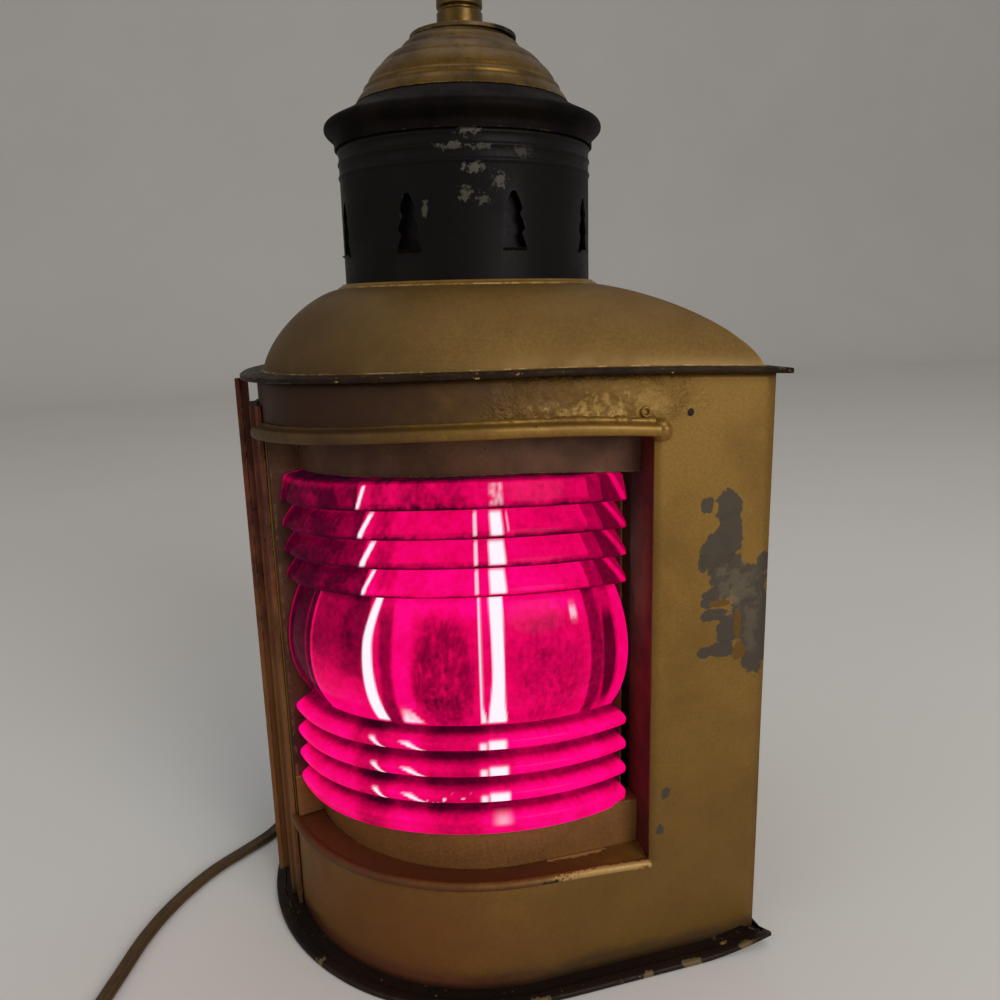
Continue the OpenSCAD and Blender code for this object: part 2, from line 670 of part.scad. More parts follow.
// Screw base of the bulb: rolled thread, insulating end and contact
module bulb_base() color(brass) translate([0, lamp_y, screw_z]) {
    pitch = 3.6;
    turns = 5;
    thread = [for (i = [0 : turns - 1]) each [
        [screw_r - 1, 4 + i * pitch], [screw_r, 4 + (i + 0.5) * pitch]]];
    rotate_extrude() polygon(concat(
        [[0, 0], [4, 0], [4.6, 1], [9, 3], [screw_r - 1.4, 3.4]],
        thread,
        [[screw_r - 1, 4 + turns * pitch], [screw_r - 0.6, screw_h], [0, screw_h]]));
}

// Tubular glass of the bulb, a closed shell that stands on its base
module bulb_glass() color([0.95, 0.93, 0.86, 0.4]) translate([0, lamp_y, screw_z + screw_h]) {
    outer = [
        [screw_r - 1, 0], [screw_r - 0.6, 5], [bulb_r, 13], [bulb_r, bulb_l - 15],
        [bulb_r * 0.966, bulb_l - 10], [bulb_r * 0.866, bulb_l - 6], [bulb_r * 0.7, bulb_l - 3],
        [bulb_r * 0.45, bulb_l - 1], [bulb_r * 0.2, bulb_l - 0.2], [0, bulb_l]];
    inner = [for (i = [len(outer) - 1 : -1 : 0])
        [max(0, outer[i].x - 1), i == 0 ? 0 : i == 1 ? 5 : outer[i].y - (i > 2 ? 1 : 0)]];
    rotate_extrude() polygon(concat(outer, inner));
}

// Glass stem with the two wires and the long filament between them
module bulb_mount() color([0.95, 0.9, 0.75]) translate([0, lamp_y, screw_z + screw_h]) {
    wire_r = 0.5;
    wire_x = 1.8;                            // both wires leave through the flat top of the stem
    top = 96;
    cylinder(r1 = 5, r2 = 2.5, h = 18, $fn = 24);
    translate([wire_x, 0, 12]) cylinder(r = wire_r, h = top - 12, $fn = 16);
    translate([-wire_x, 0, 12]) cylinder(r = wire_r, h = 12, $fn = 16);
    translate([-wire_x, 0, 24]) cylinder(r = 0.9, h = top - 24, $fn = 16);
    translate([-wire_x - 1, -0.7, top]) cube([2 * wire_x + 2, 1.4, 1]);
}

function frame_rivet_places() = [for (z = hinge_at, s = [-1, 1]) [hinge_x - leaf_w * 0.6, z + s * leaf_h * 0.3]];
function door_rivet_places() = [for (z = hinge_at, s = [-1, 1]) [door_rivet_x, z + s * leaf_h * 0.3]];

// Door: a sheet with a hem folded out along its edges, and a finger lip on its free side
module back_door() color(gold) difference() {
    union() {
        translate([-door_half, door_y, door_z0]) cube([2 * door_half, sheet, door_z1 - door_z0]);
        difference() {
            translate([-door_half, door_y, door_z0]) cube([2 * door_half, 2 * sheet, door_z1 - door_z0]);
            translate([-door_half + door_hem, door_y - beyond, door_z0 + door_hem])
                cube([2 * (door_half - door_hem), 2 * sheet + 2 * beyond, door_z1 - door_z0 - 2 * door_hem]);
        }
        translate([door_half - door_hem, door_y, button_z - button_l - lip_h])
            cube([sheet, 2 * sheet + lip_out, lip_h]);
        for (z = hinge_at) translate([-door_half, door_y, z - leaf_h / 2])
            cube([door_rivet_x + rivet_head + 1 + door_half, 2 * sheet, leaf_h]);
    }
    for (p = door_rivet_places()) translate([p.x, door_y + 2 * sheet + beyond, p.y]) rotate([90, 0, 0])
        cylinder(r = rivet_r + run, h = 2 * sheet + 2 * beyond);
}

// A hinge has three knuckles; the middle one turns with the door
knuckle_h = leaf_h / 3;
module knuckle(z, h) translate([hinge_x, hinge_y, z]) difference() {
    cylinder(r = knuckle_r, h = h);
    translate([0, 0, -beyond]) cylinder(r = pin_r + run, h = h + 2 * beyond);
}

module frame_hinge_leaves() color(brass) for (z = hinge_at) difference() {
    union() {
        for (s = [-1, 1]) knuckle(z + s * knuckle_h - knuckle_h / 2, knuckle_h);
        for (s = [-1, 1]) difference() {
            translate([hinge_x - knuckle_r, back_y, z + s * knuckle_h - knuckle_h / 2])
                cube([knuckle_r, sheet, knuckle_h]);
            translate([hinge_x, hinge_y, z - leaf_h]) cylinder(r = pin_r + run, h = 2 * leaf_h);
        }
        translate([hinge_x - leaf_w, back_y, z - leaf_h / 2])
            cube([leaf_w - knuckle_r - free, sheet, leaf_h]);
        for (s = [-1, 1]) translate([hinge_x - knuckle_r - 1, back_y, z + s * knuckle_h - knuckle_h / 2])
            cube([1.2, sheet, knuckle_h]);
    }
    for (p = frame_rivet_places()) translate([p.x, back_y + 2, p.y]) rotate([90, 0, 0])
        cylinder(r = rivet_r + run, h = 4);
}

module door_hinge_leaves() color(brass) for (z = hinge_at) {
    leaf_y = door_y + 2 * sheet;
    h = knuckle_h - 2 * free;
    difference() {
        union() {
            knuckle(z - h / 2, h);
            translate([hinge_x + pin_r + 0.6, leaf_y, z - h / 2]) cube([knuckle_r, sheet, h]);
            translate([hinge_x + knuckle_r + free, leaf_y, z - leaf_h / 2])
                cube([door_rivet_x + rivet_head + free - hinge_x - knuckle_r, sheet, leaf_h]);
        }
        for (p = door_rivet_places()) translate([p.x, leaf_y + 2, p.y]) rotate([90, 0, 0])
            cylinder(r = rivet_r + run, h = 4);
    }
}

module hinge_pins() color(steel) for (z = hinge_at) translate([hinge_x, hinge_y, z]) {
    translate([0, 0, -leaf_h / 2]) cylinder(r = pin_r, h = leaf_h);
    for (s = [0, 1]) mirror([0, 0, s]) translate([0, 0, leaf_h / 2]) cylinder(r = 1.9, h = 1.2);
}

// A rivet through two sheets, with a low head on both sides
module rivet(y0, y1) {
    rotate([-90, 0, 0]) {
        translate([0, 0, y0]) cylinder(r = rivet_r, h = y1 - y0);
        translate([0, 0, y1]) cylinder(r1 = rivet_head, r2 = rivet_head - 0.8, h = 0.9);
        translate([0, 0, y0 - 0.7]) cylinder(r = rivet_head, h = 0.7);
    }
}

module frame_rivets() color(steel) for (p = frame_rivet_places())
    translate([p.x, 0, p.y]) rivet(back_y - sheet, back_y + sheet);

module door_rivets() color(steel) for (p = door_rivet_places())
    translate([p.x, 0, p.y]) rivet(door_y, door_y + 3 * sheet);

// Turn button, drawn upright, where it lets the door go
module turn_button() color(brass) translate([button_x, button_y, button_z]) rotate([-90, 0, 0]) difference() {
    union() {
        translate([-button_w / 2, -button_l / 2 + button_w / 2, 0])
            cube([button_w, button_l - button_w, button_t]);
        for (s = [-1, 1]) translate([0, s * (button_l - button_w) / 2, 0])
            cylinder(r = button_w / 2, h = button_t);
    }
    translate([0, 0, -beyond]) cylinder(r = stud_r + run, h = button_t + 2 * beyond);
}

// Stud of the turn button, with the shoulder on which the button turns
module button_stud() color(steel) translate([button_x, 0, button_z]) rotate([-90, 0, 0]) {
    translate([0, 0, back_y - sheet]) cylinder(r = stud_r, h = button_y + button_t + free - back_y + sheet);
    translate([0, 0, back_y]) cylinder(r = 3.4, h = button_y - back_y - run);
    translate([0, 0, button_y + button_t + run]) cylinder(r = 3.6, h = 1.4);
    translate([0, 0, back_y - sheet - 1]) cylinder(r = 3.6, h = 1);
}

// Tapered strain relief, with a groove that grips the back plate
module cord_bushing() color(black) translate([0, 0, cord_z]) rotate([-90, 0, 0]) rotate_extrude() polygon([
    [0, back_y - sheet - 1.2], [bushing_r - 0.6, back_y - sheet - 1.2], [bushing_r - 0.6, back_y - sheet],
    [bushing_r - 2, back_y - sheet], [bushing_r - 2, back_y], [bushing_r, back_y], [bushing_r, back_y + 1.6],
    [bushing_r - 1.6, back_y + 3], [4.2, bushing_y], [0, bushing_y]]);

// Tube of a flat cord along points; its broad side stays level
function across(p, i) =
    let (a = p[max(0, i - 1)], b = p[min(len(p) - 1, i + 1)], d = unit(b - a))
    abs(d.z) > 0.99 ? [1, 0, 0] : unit(cross([0, 0, 1], d));
function along(p, i) = unit(p[min(len(p) - 1, i + 1)] - p[max(0, i - 1)]);
module flat_tube(p, sides, side_at) {
    n = len(p);
    points = [for (i = [0 : n - 1])
        let (w = side_at == 0 ? across(p, i) : side_at, u = cross(along(p, i), w))
        for (k = [0 : sides - 1])
            let (a = 360 * k / sides)
            p[i] + cord_w / 2 * cos(a) * w + cord_t / 2 * sin(a) * u];
    walls = [for (i = [0 : n - 2], k = [0 : sides - 1])
        let (a = i * sides + k, b = i * sides + (k + 1) % sides)
        each [[a, a + sides, b], [b, a + sides, b + sides]]];
    ends = [for (k = [1 : sides - 2]) each [
        [0, k, k + 1], [(n - 1) * sides, (n - 1) * sides + k + 1, (n - 1) * sides + k]]];
    polyhedron(points = points, faces = concat(walls, ends), convexity = 10);
}

module inner_lead() color(brown) flat_tube(lead, 8, [1, 0, 0]);

module cord_run() color(brown) flat_tube(route, 8, 0);

module cord_coil() color(brown) {
    echo(least_gap_between_coil_loops = coil_gap());
    flat_tube(coil_path, 6, 0);
}

// Tie round the coil, opposite its start
module coil_tie() color(black) {
    tie_w = 6;
    r0 = coil_radius(coil_turns / 2 - 0.5) - cord_w / 2 - free;
    r1 = coil_radius(0.5) + cord_w / 2 + free;
    top = coil_z + coil_rise + cord_t / 2 + seat;
    translate([coil_c.x, coil_c.y, 0]) rotate([0, 0, coil_a + 180]) translate([0, tie_w / 2, 0])
        rotate([90, 0, 0]) linear_extrude(tie_w) difference() {
            translate([r0 - tie_t, 0]) square([r1 - r0 + 2 * tie_t, top + tie_t]);
            translate([r0, tie_t]) square([r1 - r0, top - tie_t]);
        }
}

// Moulded plug: a block that narrows toward the cord
module on_plug() translate([plug_at.x, plug_at.y, 0]) rotate([0, 0, atan2(tail_dir.y, tail_dir.x)]) children();

module plug_body() color(black) on_plug() linear_extrude(plug_h) polygon([
    [0, -6], [8, -7], [12, -plug_w / 2 + 1.5], [14, -plug_w / 2], [plug_l - 1, -plug_w / 2],
    [plug_l, -plug_w / 2 + 1], [plug_l, plug_w / 2 - 1], [plug_l - 1, plug_w / 2],
    [14, plug_w / 2], [12, plug_w / 2 - 1.5], [8, 7], [0, 6]]);

module plug_blades() color(brass) on_plug() for (s = [-1, 1])
    translate([plug_l, s * blade_gap / 2 - 0.75, plug_at.z - 3.2]) cube([blade_l, 1.5, 6.4]);

base_plate();
body_shell();
back_frame();
top_plate();
roof_dome();
hood();  // port_hood
starboard() hood();  // starboard_hood
sill();  // port_sill
starboard() sill();  // starboard_sill
jamb();  // port_jamb
starboard() jamb();  // starboard_jamb
bow_post();
bow_fin();
lower_lens_band();
upper_lens_band();
lens_divider();
color([0.85, 0.05, 0.25, 0.6]) lens();  // port_lens
color([0.1, 0.5, 0.75, 0.6]) starboard() lens();  // starboard_lens
lens_strip();  // port_lens_strip
starboard() lens_strip();  // starboard_lens_strip
chimney_collar();
chimney_shell();
chimney_crown();
cap_dome();
cap_washer();
brass_neck();
finial();
neck_nipple();
neck_nut();
holder_bracket();
holder_nipple();
holder_nut();
holder_cap();
holder_shell();
holder_core();
turn_key();
bulb_base();
bulb_glass();
bulb_mount();
back_door();
frame_hinge_leaves();
door_hinge_leaves();
hinge_pins();
frame_rivets();
door_rivets();
turn_button();
button_stud();
cord_bushing();
inner_lead();
cord_run();
cord_coil();
coil_tie();
plug_body();
plug_blades();
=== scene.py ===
# Bow lantern with a port and a starboard lens, wired for a bulb.
import bpy
import bmesh
from contextlib import contextmanager
from math import asin, atan, atan2, cos, degrees, hypot, pi, radians, sin, sqrt
from mathutils import Matrix, Vector, noise


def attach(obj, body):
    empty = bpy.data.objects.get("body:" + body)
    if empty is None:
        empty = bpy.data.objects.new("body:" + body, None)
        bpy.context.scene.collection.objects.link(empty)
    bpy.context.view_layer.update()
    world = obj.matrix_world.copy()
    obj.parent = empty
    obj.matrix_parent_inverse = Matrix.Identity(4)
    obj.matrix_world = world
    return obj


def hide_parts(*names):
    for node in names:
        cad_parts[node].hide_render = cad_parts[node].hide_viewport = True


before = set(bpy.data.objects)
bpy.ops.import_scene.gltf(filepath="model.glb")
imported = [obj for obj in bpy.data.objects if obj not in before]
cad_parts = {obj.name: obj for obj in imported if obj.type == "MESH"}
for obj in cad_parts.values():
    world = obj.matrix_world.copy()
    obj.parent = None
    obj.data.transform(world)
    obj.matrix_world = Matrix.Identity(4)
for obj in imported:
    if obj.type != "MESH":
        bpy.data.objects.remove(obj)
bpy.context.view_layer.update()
scene = bpy.context.scene
mm = 0.001
print("frame loaded,", len(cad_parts), "nodes")


# Small tools for nodes and finishes

def color(r, g, b):                             # 0 to 255 as seen on a screen, to the renderer's own scale
    parts = [c / 255 for c in (r, g, b)]
    return tuple(c / 12.92 if c <= 0.04045 else ((c + 0.055) / 1.055) ** 2.4 for c in parts) + (1.0,)


def wire(node, inputs):                         # a socket is linked, anything else is set as a value
    for key, value in inputs.items():
        if isinstance(value, bpy.types.NodeSocket):
            node.id_data.links.new(value, node.inputs[key])
        else:
            node.inputs[key].default_value = value


def add(tree, kind, inputs=None, **settings):
    node = tree.nodes.new(kind)
    for key, value in settings.items():
        setattr(node, key, value)
    wire(node, inputs or {})
    return node


def got(tree, kind, inputs=None, **settings):   # a new node's first output
    return add(tree, kind, inputs, **settings).outputs[0]


def sums(tree, operation, *given, clamp=False):
    return got(tree, "ShaderNodeMath", dict(enumerate(given)), operation=operation, use_clamp=clamp)


def span(tree, value, low, high, toLow=0.0, toHigh=1.0, smooth=True):
    return got(tree, "ShaderNodeMapRange", {0: value, 1: low, 2: high, 3: toLow, 4: toHigh},
               interpolation_type="SMOOTHSTEP" if smooth else "LINEAR")


def blend(tree, factor, a, b, mode="MIX"):
    made = add(tree, "ShaderNodeMix", {0: factor, 6: a, 7: b}, data_type="RGBA", blend_type=mode)
    return made.outputs[2]


def place(tree):                                # Object coordinates, from one node in each tree
    node = tree.nodes.get("place") or add(tree, "ShaderNodeTexCoord", name="place")
    return node.outputs["Object"]


def speckle(tree, scale, detail, roughness=0.5):
    return got(tree, "ShaderNodeTexNoise", {"Vector": place(tree), "Scale": scale, "Detail": detail,
                                            "Roughness": roughness})


def kindOf(value):                              # the socket for a value; a word names its kind itself
    if isinstance(value, tuple):
        return "NodeSocket" + ("Color" if len(value) == 4 else "Vector")
    if isinstance(value, str):
        return "NodeSocket" + value
    return "NodeSocket" + {bool: "Bool", int: "Int", float: "Float"}[type(value)]


def openTree(name, kind, inputs):               # a node group with named inputs, typed by their first values
    tree = bpy.data.node_groups.new(name, kind)
    for label, value in inputs.items():
        socket = tree.interface.new_socket(label.capitalize(), in_out="INPUT", socket_type=kindOf(value))
        if not isinstance(value, str):
            socket.default_value = value
    return tree, tree.nodes.new("NodeGroupInput").outputs


def closeTree(tree, **outputs):                 # gives it its named outputs
    for label in outputs:
        kind = {"color": "Color", "geometry": "Geometry"}.get(label, "Float")
        tree.interface.new_socket(label.capitalize(), in_out="OUTPUT", socket_type="NodeSocket" + kind)
    wire(tree.nodes.new("NodeGroupOutput"), {label.capitalize(): value for label, value in outputs.items()})
    return tree


def use(tree, group, **inputs):                 # places a shader group in a material
    made = tree.nodes.new("ShaderNodeGroup")
    made.node_tree = group
    wire(made, {label.capitalize(): value for label, value in inputs.items()})
    return made.outputs


def newMaterial(name, plain):                   # its tree, and the Principled node with plain values set
    material = bpy.data.materials.new(name)
    material.use_nodes = True
    surface = material.node_tree.nodes["Principled BSDF"]
    wire(surface, plain)
    return material, material.node_tree, surface


# Small tools for meshes, which are made in millimetres and take a finish by its name

finishes = {}

@contextmanager
def editing(mesh):
    work = bmesh.new()
    work.from_mesh(mesh)
    yield work
    work.to_mesh(mesh)
    work.free()


def shadeByAngle(mesh, angle):
    mesh.shade_smooth()
    mesh.set_sharp_from_angle(angle=radians(angle))


def linked(name, mesh, finish, smooth=35.0):
    mesh.materials.clear()
    mesh.materials.append(finishes[finish])
    shadeByAngle(mesh, smooth)
    obj = bpy.data.objects.new(name, mesh)
    scene.collection.objects.link(obj)
    return obj


def pieceFrom(name, points, faces, finish, smooth=35.0):
    mesh = bpy.data.meshes.new(name)
    mesh.from_pydata([[c * mm for c in p] for p in points], [], faces)
    return linked(name, mesh, finish, smooth)


def evaluated(obj):                             # a new mesh of the object with its modifiers run
    return bpy.data.meshes.new_from_object(obj.evaluated_get(bpy.context.evaluated_depsgraph_get()))


def outward(obj, merge=0.00001):                # closes doubles, and turns the faces outward
    with editing(obj.data) as work:
        bmesh.ops.remove_doubles(work, verts=work.verts, dist=merge)
        bmesh.ops.dissolve_degenerate(work, edges=work.edges, dist=merge / 10)
        bmesh.ops.recalc_face_normals(work, faces=work.faces)
        if work.calc_volume(signed=True) < 0:
            bmesh.ops.reverse_faces(work, faces=work.faces)
    return obj


def sheetFrom(obj, thickness, side):            # the sheet goes inward; side(face) is above 0 on the outside
    with editing(obj.data) as work:
        bmesh.ops.delete(work, geom=[v for v in work.verts if not v.link_faces], context="VERTS")
        if sum(side(f) for f in work.faces) < 0:
            bmesh.ops.reverse_faces(work, faces=work.faces)
    thick = obj.modifiers.new("sheet", "SOLIDIFY")
    thick.thickness = thickness * mm
    thick.offset = -1


def joined(first, *others):
    with editing(first.data) as work:
        for other in others:
            work.from_mesh(other.data)
            bpy.data.objects.remove(other)
    shadeByAngle(first.data, 50)
    return first


def flipped(mesh):                              # from port to starboard
    mesh.transform(Matrix.Diagonal((-1, 1, 1, 1)))
    mesh.flip_normals()
    return mesh


def settle(obj, slot, *nodes, body="lantern"):  # the piece rides on a body, and stands for these nodes
    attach(obj, body)
    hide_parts(*nodes)
    return obj


def dressed(node, finish, slot, body="lantern", edge=0.3, segments=2, name=None):     # a CAD shape that stays
    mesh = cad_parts[node].data.copy()
    with editing(mesh) as work:
        bmesh.ops.remove_doubles(work, verts=work.verts, dist=0.00001)
        bmesh.ops.dissolve_limit(work, angle_limit=radians(0.6), verts=work.verts, edges=work.edges)
    obj = linked(name or node + "_finish", mesh, finish)
    if edge:
        bevel = obj.modifiers.new("edges", "BEVEL")
        bevel.width = edge * mm
        bevel.segments = segments
        bevel.limit_method = "ANGLE"
        bevel.angle_limit = radians(38)
    return settle(obj, slot, node, body=body)


# Camera, placed from the edges and the vanishing of the body's verticals

view = dict(at=(0.3482, -0.0815, 0.2568), ahead=(-0.9616, 0.2745), down=12.24, roll=-0.0225,
            lens=29.95, sensor=36, shift=(-0.014, -0.0169))


def placeCamera():
    down, roll = radians(view["down"]), view["roll"]
    flat = Vector((*view["ahead"], 0)).normalized()
    right = Vector((flat.y, -flat.x, 0))
    up = Vector((flat.x * sin(down), flat.y * sin(down), cos(down)))
    ahead = Vector((flat.x * cos(down), flat.y * cos(down), -sin(down)))
    turn = Matrix((right * cos(roll) + up * sin(roll), up * cos(roll) - right * sin(roll), -ahead))
    data = bpy.data.cameras.new("camera")
    data.lens = view["lens"]
    data.sensor_width = view["sensor"]
    data.shift_x, data.shift_y = view["shift"]
    data.clip_start = 0.01
    data.dof.use_dof = False
    camera = bpy.data.objects.new("camera", data)
    camera.matrix_world = Matrix.Translation(view["at"]) @ turn.transposed().to_4x4()
    scene.collection.objects.link(camera)
    scene.camera = camera


placeCamera()
print("camera placed")


# Shader groups: effects that several finishes share

def makeAgedPaint():                            # clouded paint with fine grain and dark flecks
    group, given = openTree("agedPaint", "ShaderNodeTree", dict(
        paint=(0.5, 0.4, 0.2, 1), shade=(0.2, 0.15, 0.06, 1), fleck=(0.05, 0.04, 0.03, 1),
        cloud=40.0, grain=900.0, flecks=0.3, wear=0.5))
    cloud = speckle(group, given["Cloud"], 6.0, 0.62)
    grain = speckle(group, given["Grain"], 3.0, 0.7)
    fleck = speckle(group, 330.0, 4.0, 0.72)
    tone = span(group, cloud, 0.36, 0.66)
    tint = blend(group, sums(group, "MULTIPLY", tone, given["Wear"]), given["Paint"], given["Shade"])
    tint = blend(group, 1.0, tint, span(group, grain, 0.3, 0.7, 0.86, 1.12), "MULTIPLY")
    limit = span(group, given["Flecks"], 0.0, 1.0, 0.74, 0.54, False)
    spots = span(group, sums(group, "SUBTRACT", fleck, limit), 0.0, 0.035)
    tint = blend(group, sums(group, "MULTIPLY", spots, 0.8), tint, given["Fleck"])
    rough = sums(group, "MULTIPLY_ADD", tone, 0.16, span(group, grain, 0.3, 0.7, 0.0, 0.12))
    height = sums(group, "MULTIPLY_ADD", cloud, 0.7, sums(group, "MULTIPLY", grain, 0.3))
    height = sums(group, "MULTIPLY_ADD", spots, -0.15, height)
    return closeTree(group, color=tint, roughness=rough, height=height)


def makeEdgeWear():                             # where edges are rubbed bare, in patches
    group, given = openTree("edgeWear", "ShaderNodeTree", dict(reach=0.0008, amount=0.5))
    softened = got(group, "ShaderNodeBevel", {"Radius": given["Reach"]}, samples=4)
    true = add(group, "ShaderNodeNewGeometry").outputs["Normal"]
    facing = add(group, "ShaderNodeVectorMath", {0: softened, 1: true},
                 operation="DOT_PRODUCT").outputs["Value"]
    limit = span(group, given["Amount"], 0.0, 1.0, 0.7, 0.3, False)
    patchy = span(group, sums(group, "SUBTRACT", speckle(group, 220.0, 5.0, 0.7), limit), -0.02, 0.06)
    return closeTree(group, mask=sums(group, "MULTIPLY", span(group, facing, 0.995, 0.86), patchy))


def makePatch():                                # inside a ragged ellipsoid: 1, outside: 0
    group, given = openTree("patch", "ShaderNodeTree", dict(
        centre=(0.0, 0.0, 0.0), radii=(0.01, 0.01, 0.01), ragged=0.3, scale=160.0, soft=0.05, sparse=0.0))
    off = got(group, "ShaderNodeVectorMath", {0: place(group), 1: given["Centre"]}, operation="SUBTRACT")
    shape = got(group, "ShaderNodeVectorMath", {0: off, 1: given["Radii"]}, operation="DIVIDE")
    far = add(group, "ShaderNodeVectorMath", {0: shape}, operation="LENGTH").outputs["Value"]
    rough = sums(group, "SUBTRACT", speckle(group, given["Scale"], 5.0, 0.65), 0.5)
    shift = sums(group, "MULTIPLY", rough, sums(group, "MULTIPLY", given["Ragged"], 4.0))
    full = sums(group, "SUBTRACT", 1.0, given["Sparse"])
    edge = sums(group, "SUBTRACT", full, sums(group, "ADD", far, shift))
    return closeTree(group, mask=span(group, sums(group, "DIVIDE", edge, given["Soft"]), -0.5, 0.5))


def makeFadeBelow():                            # 1 near the foot, 0 above, with an uneven border between
    group, given = openTree("fadeBelow", "ShaderNodeTree", dict(level=0.01, depth=0.01, uneven=0.01))
    height = add(group, "ShaderNodeSeparateXYZ", {0: place(group)}).outputs["Z"]
    rough = sums(group, "SUBTRACT", speckle(group, 36.0, 5.0, 0.6), 0.5)
    border = sums(group, "MULTIPLY_ADD", rough, given["Uneven"], given["Level"])
    share = sums(group, "DIVIDE", sums(group, "SUBTRACT", border, height), given["Depth"])
    return closeTree(group, mask=span(group, share, -0.5, 0.5))


def makeClouded():                              # two near tones in soft clouds
    group, given = openTree("clouded", "ShaderNodeTree", dict(
        tint=(1.0, 1.0, 1.0, 1.0), other=(1.0, 1.0, 1.0, 1.0), scale=60.0, detail=3.0))
    cloud = speckle(group, given["Scale"], given["Detail"])
    return closeTree(group, color=blend(group, cloud, given["Tint"], given["Other"]))


def makeLitGlass():                             # parts of the light painted on a lens: hot, white and black
    group, given = openTree("litGlass", "ShaderNodeTree", dict(light=(0.5, 0.0, 0.0, 1.0)))
    parts = add(group, "ShaderNodeSeparateColor", {"Color": given["Light"]}).outputs
    fine = span(group, speckle(group, 420.0, 4.0, 0.7), 0.3, 0.7, -0.07, 0.07)
    broad = span(group, speckle(group, 90.0, 3.0, 0.6), 0.3, 0.7, -0.06, 0.06)
    hot = sums(group, "ADD", parts[0], sums(group, "ADD", fine, broad), clamp=True)
    return closeTree(group, hot=hot, core=parts[1], black=parts[2])


agedPaint, edgeWear, patch = makeAgedPaint(), makeEdgeWear(), makePatch()
fadeBelow, clouded, litGlass = makeFadeBelow(), makeClouded(), makeLitGlass()


# Finishes. Tones are the paint, its darker clouds, its flecks and what worn edges show

def paintFinish(name, tones, metallic=0.0, roughness=0.4, gloss=0.3, cloud=40.0, flecks=0.3, wear=0.5,
                edges=0.5, reach=0.0008, height=0.00012, patches=(), fade=None, dents=None):
    material, tree, surface = newMaterial(name, {"Metallic": metallic, "Specular IOR Level": gloss})
    paint, shade, fleck, bare = (color(*tone) for tone in tones)
    work = use(tree, agedPaint, paint=paint, shade=shade, fleck=fleck, cloud=cloud, flecks=flecks, wear=wear)
    tint, level = work["Color"], work["Height"]
    rough = sums(tree, "ADD", work["Roughness"], roughness)
    def spotMask(spot):
        shape = {key: spot[key] for key in ("ragged", "scale", "soft", "sparse")}
        centre, radii = ([c * mm for c in spot[key]] for key in ("centre", "radii"))
        return use(tree, patch, centre=centre, radii=radii, **shape)["Mask"]
    if dents:
        dented = sums(tree, "MULTIPLY", speckle(tree, 130.0, 2.5), spotMask(dents))
        level = sums(tree, "MULTIPLY_ADD", dented, dents["depth"], level)
    if fade:                                    # another colour toward the foot, where the metal is hidden
        low = use(tree, fadeBelow, level=fade["level"], depth=fade["depth"], uneven=fade["uneven"])["Mask"]
        tint = blend(tree, low, tint, color(*fade["color"]))
        wire(surface, {"Metallic": sums(tree, "MULTIPLY", sums(tree, "SUBTRACT", 1.0, low), metallic)})
    for spot in patches:
        mask = sums(tree, "MULTIPLY", spotMask(spot), spot["amount"])
        tint = blend(tree, mask, tint, color(*spot["color"]))
        level = sums(tree, "MULTIPLY_ADD", mask, spot["depth"], level)
        rough = sums(tree, "MULTIPLY_ADD", mask, spot["duller"], rough)
    worn = use(tree, edgeWear, reach=reach, amount=edges)["Mask"]
    raised = got(tree, "ShaderNodeBump", {"Height": level, "Distance": height, "Strength": 0.6})
    wire(surface, {"Base Color": blend(tree, worn, tint, bare), "Roughness": rough, "Normal": raised})
    return material


def spot(centre, radii, color, **more):         # a place where another colour shows
    usual = dict(ragged=0.3, scale=160.0, soft=0.05, sparse=0.0, amount=1.0, depth=-0.6, duller=0.1)
    return {**usual, "centre": centre, "radii": radii, "color": color, **more}


def peel(y, z, wide, high, color=(70, 60, 49), **more):         # a patch on the port side, bare zinc unless another colour is given
    return spot((88, y, z), (6, wide, high), color, **{**dict(scale=300.0, soft=0.12), **more})


def chips(centre, radii, color, **more):        # specks round a place
    return spot(centre, radii, color, **{**dict(ragged=0.9, scale=480.0, soft=0.25, sparse=0.35,
                                                depth=-0.2), **more})


# a soft patch of another tone; below it paints shade, red glow and a highlight, and the washer's black side
def tonePatch(centre, radii, color, soft, amount, ragged=0.2, scale=60.0):
    return spot(centre, radii, color, ragged=ragged, scale=scale, soft=soft, amount=amount, depth=0.0)


def onPlan(a, r):                               # a place at angle a from the bow toward port
    return r * sin(radians(a)), -r * cos(radians(a))


gold = [(126, 93, 35), (98, 69, 23), (50, 33, 15), (190, 164, 108)]
black = [(15, 11, 10), (8, 6, 6), (34, 24, 17), (64, 52, 38)]
peels = [peel(*place) for place in (
    (74, 183, 5.5, 6), (75, 173, 5, 9), (65, 184, 2.6, 3.2), (69.5, 165, 6.5, 8), (64, 162, 2.2, 3.6),
    (74, 158, 8, 7), (83, 153, 8, 8), (85, 141, 8.5, 12), (86, 127, 6, 11), (70, 149.5, 6, 3),
    (66, 146.5, 3, 2), (69.5, 141.5, 6, 2.6), (74.5, 135, 4.5, 7), (72.5, 127.5, 5.5, 3.2),
    (65.5, 127, 3, 2.4), (89, 160, 3, 4))]
mottles = [peel(*place, color=tone, ragged=0.8, scale=230.0, sparse=sparse, soft=0.5, depth=0.0, amount=0.7)
           for place, tone, sparse in (
    ((78, 152, 14, 14), (98, 88, 70), 0.55), ((84, 134, 8, 14), (94, 84, 66), 0.6))]
# painted highlights: lighter patches on the dented band above the port hood, where it catches the light
paintedGlints = [peel(22, 221, 26, 6.5, color=(178, 142, 76), ragged=1.2, scale=330.0, sparse=0.7, soft=0.7,
               depth=0.0, amount=0.45, duller=-0.12),
          peel(44, 221, 6, 6, color=(150, 116, 60), scale=120.0, soft=0.8, depth=0.0, amount=0.6)]
islands = [peel(*place, color=gold[1], depth=0.6)
           for place in ((71, 146, 4.5, 1.5), (79, 137, 1.6, 6), (80, 126, 2.6, 4))]
scars = [peel(*place, ragged=0.6, scale=420.0, soft=0.2)
         for place in ((50.5, 71, 2.0, 2.6), (48.5, 56, 1.6, 2.4))]
scars += [peel(57.6, 218, 1.3, 1.4, color=(30, 22, 14), ragged=0.1)]
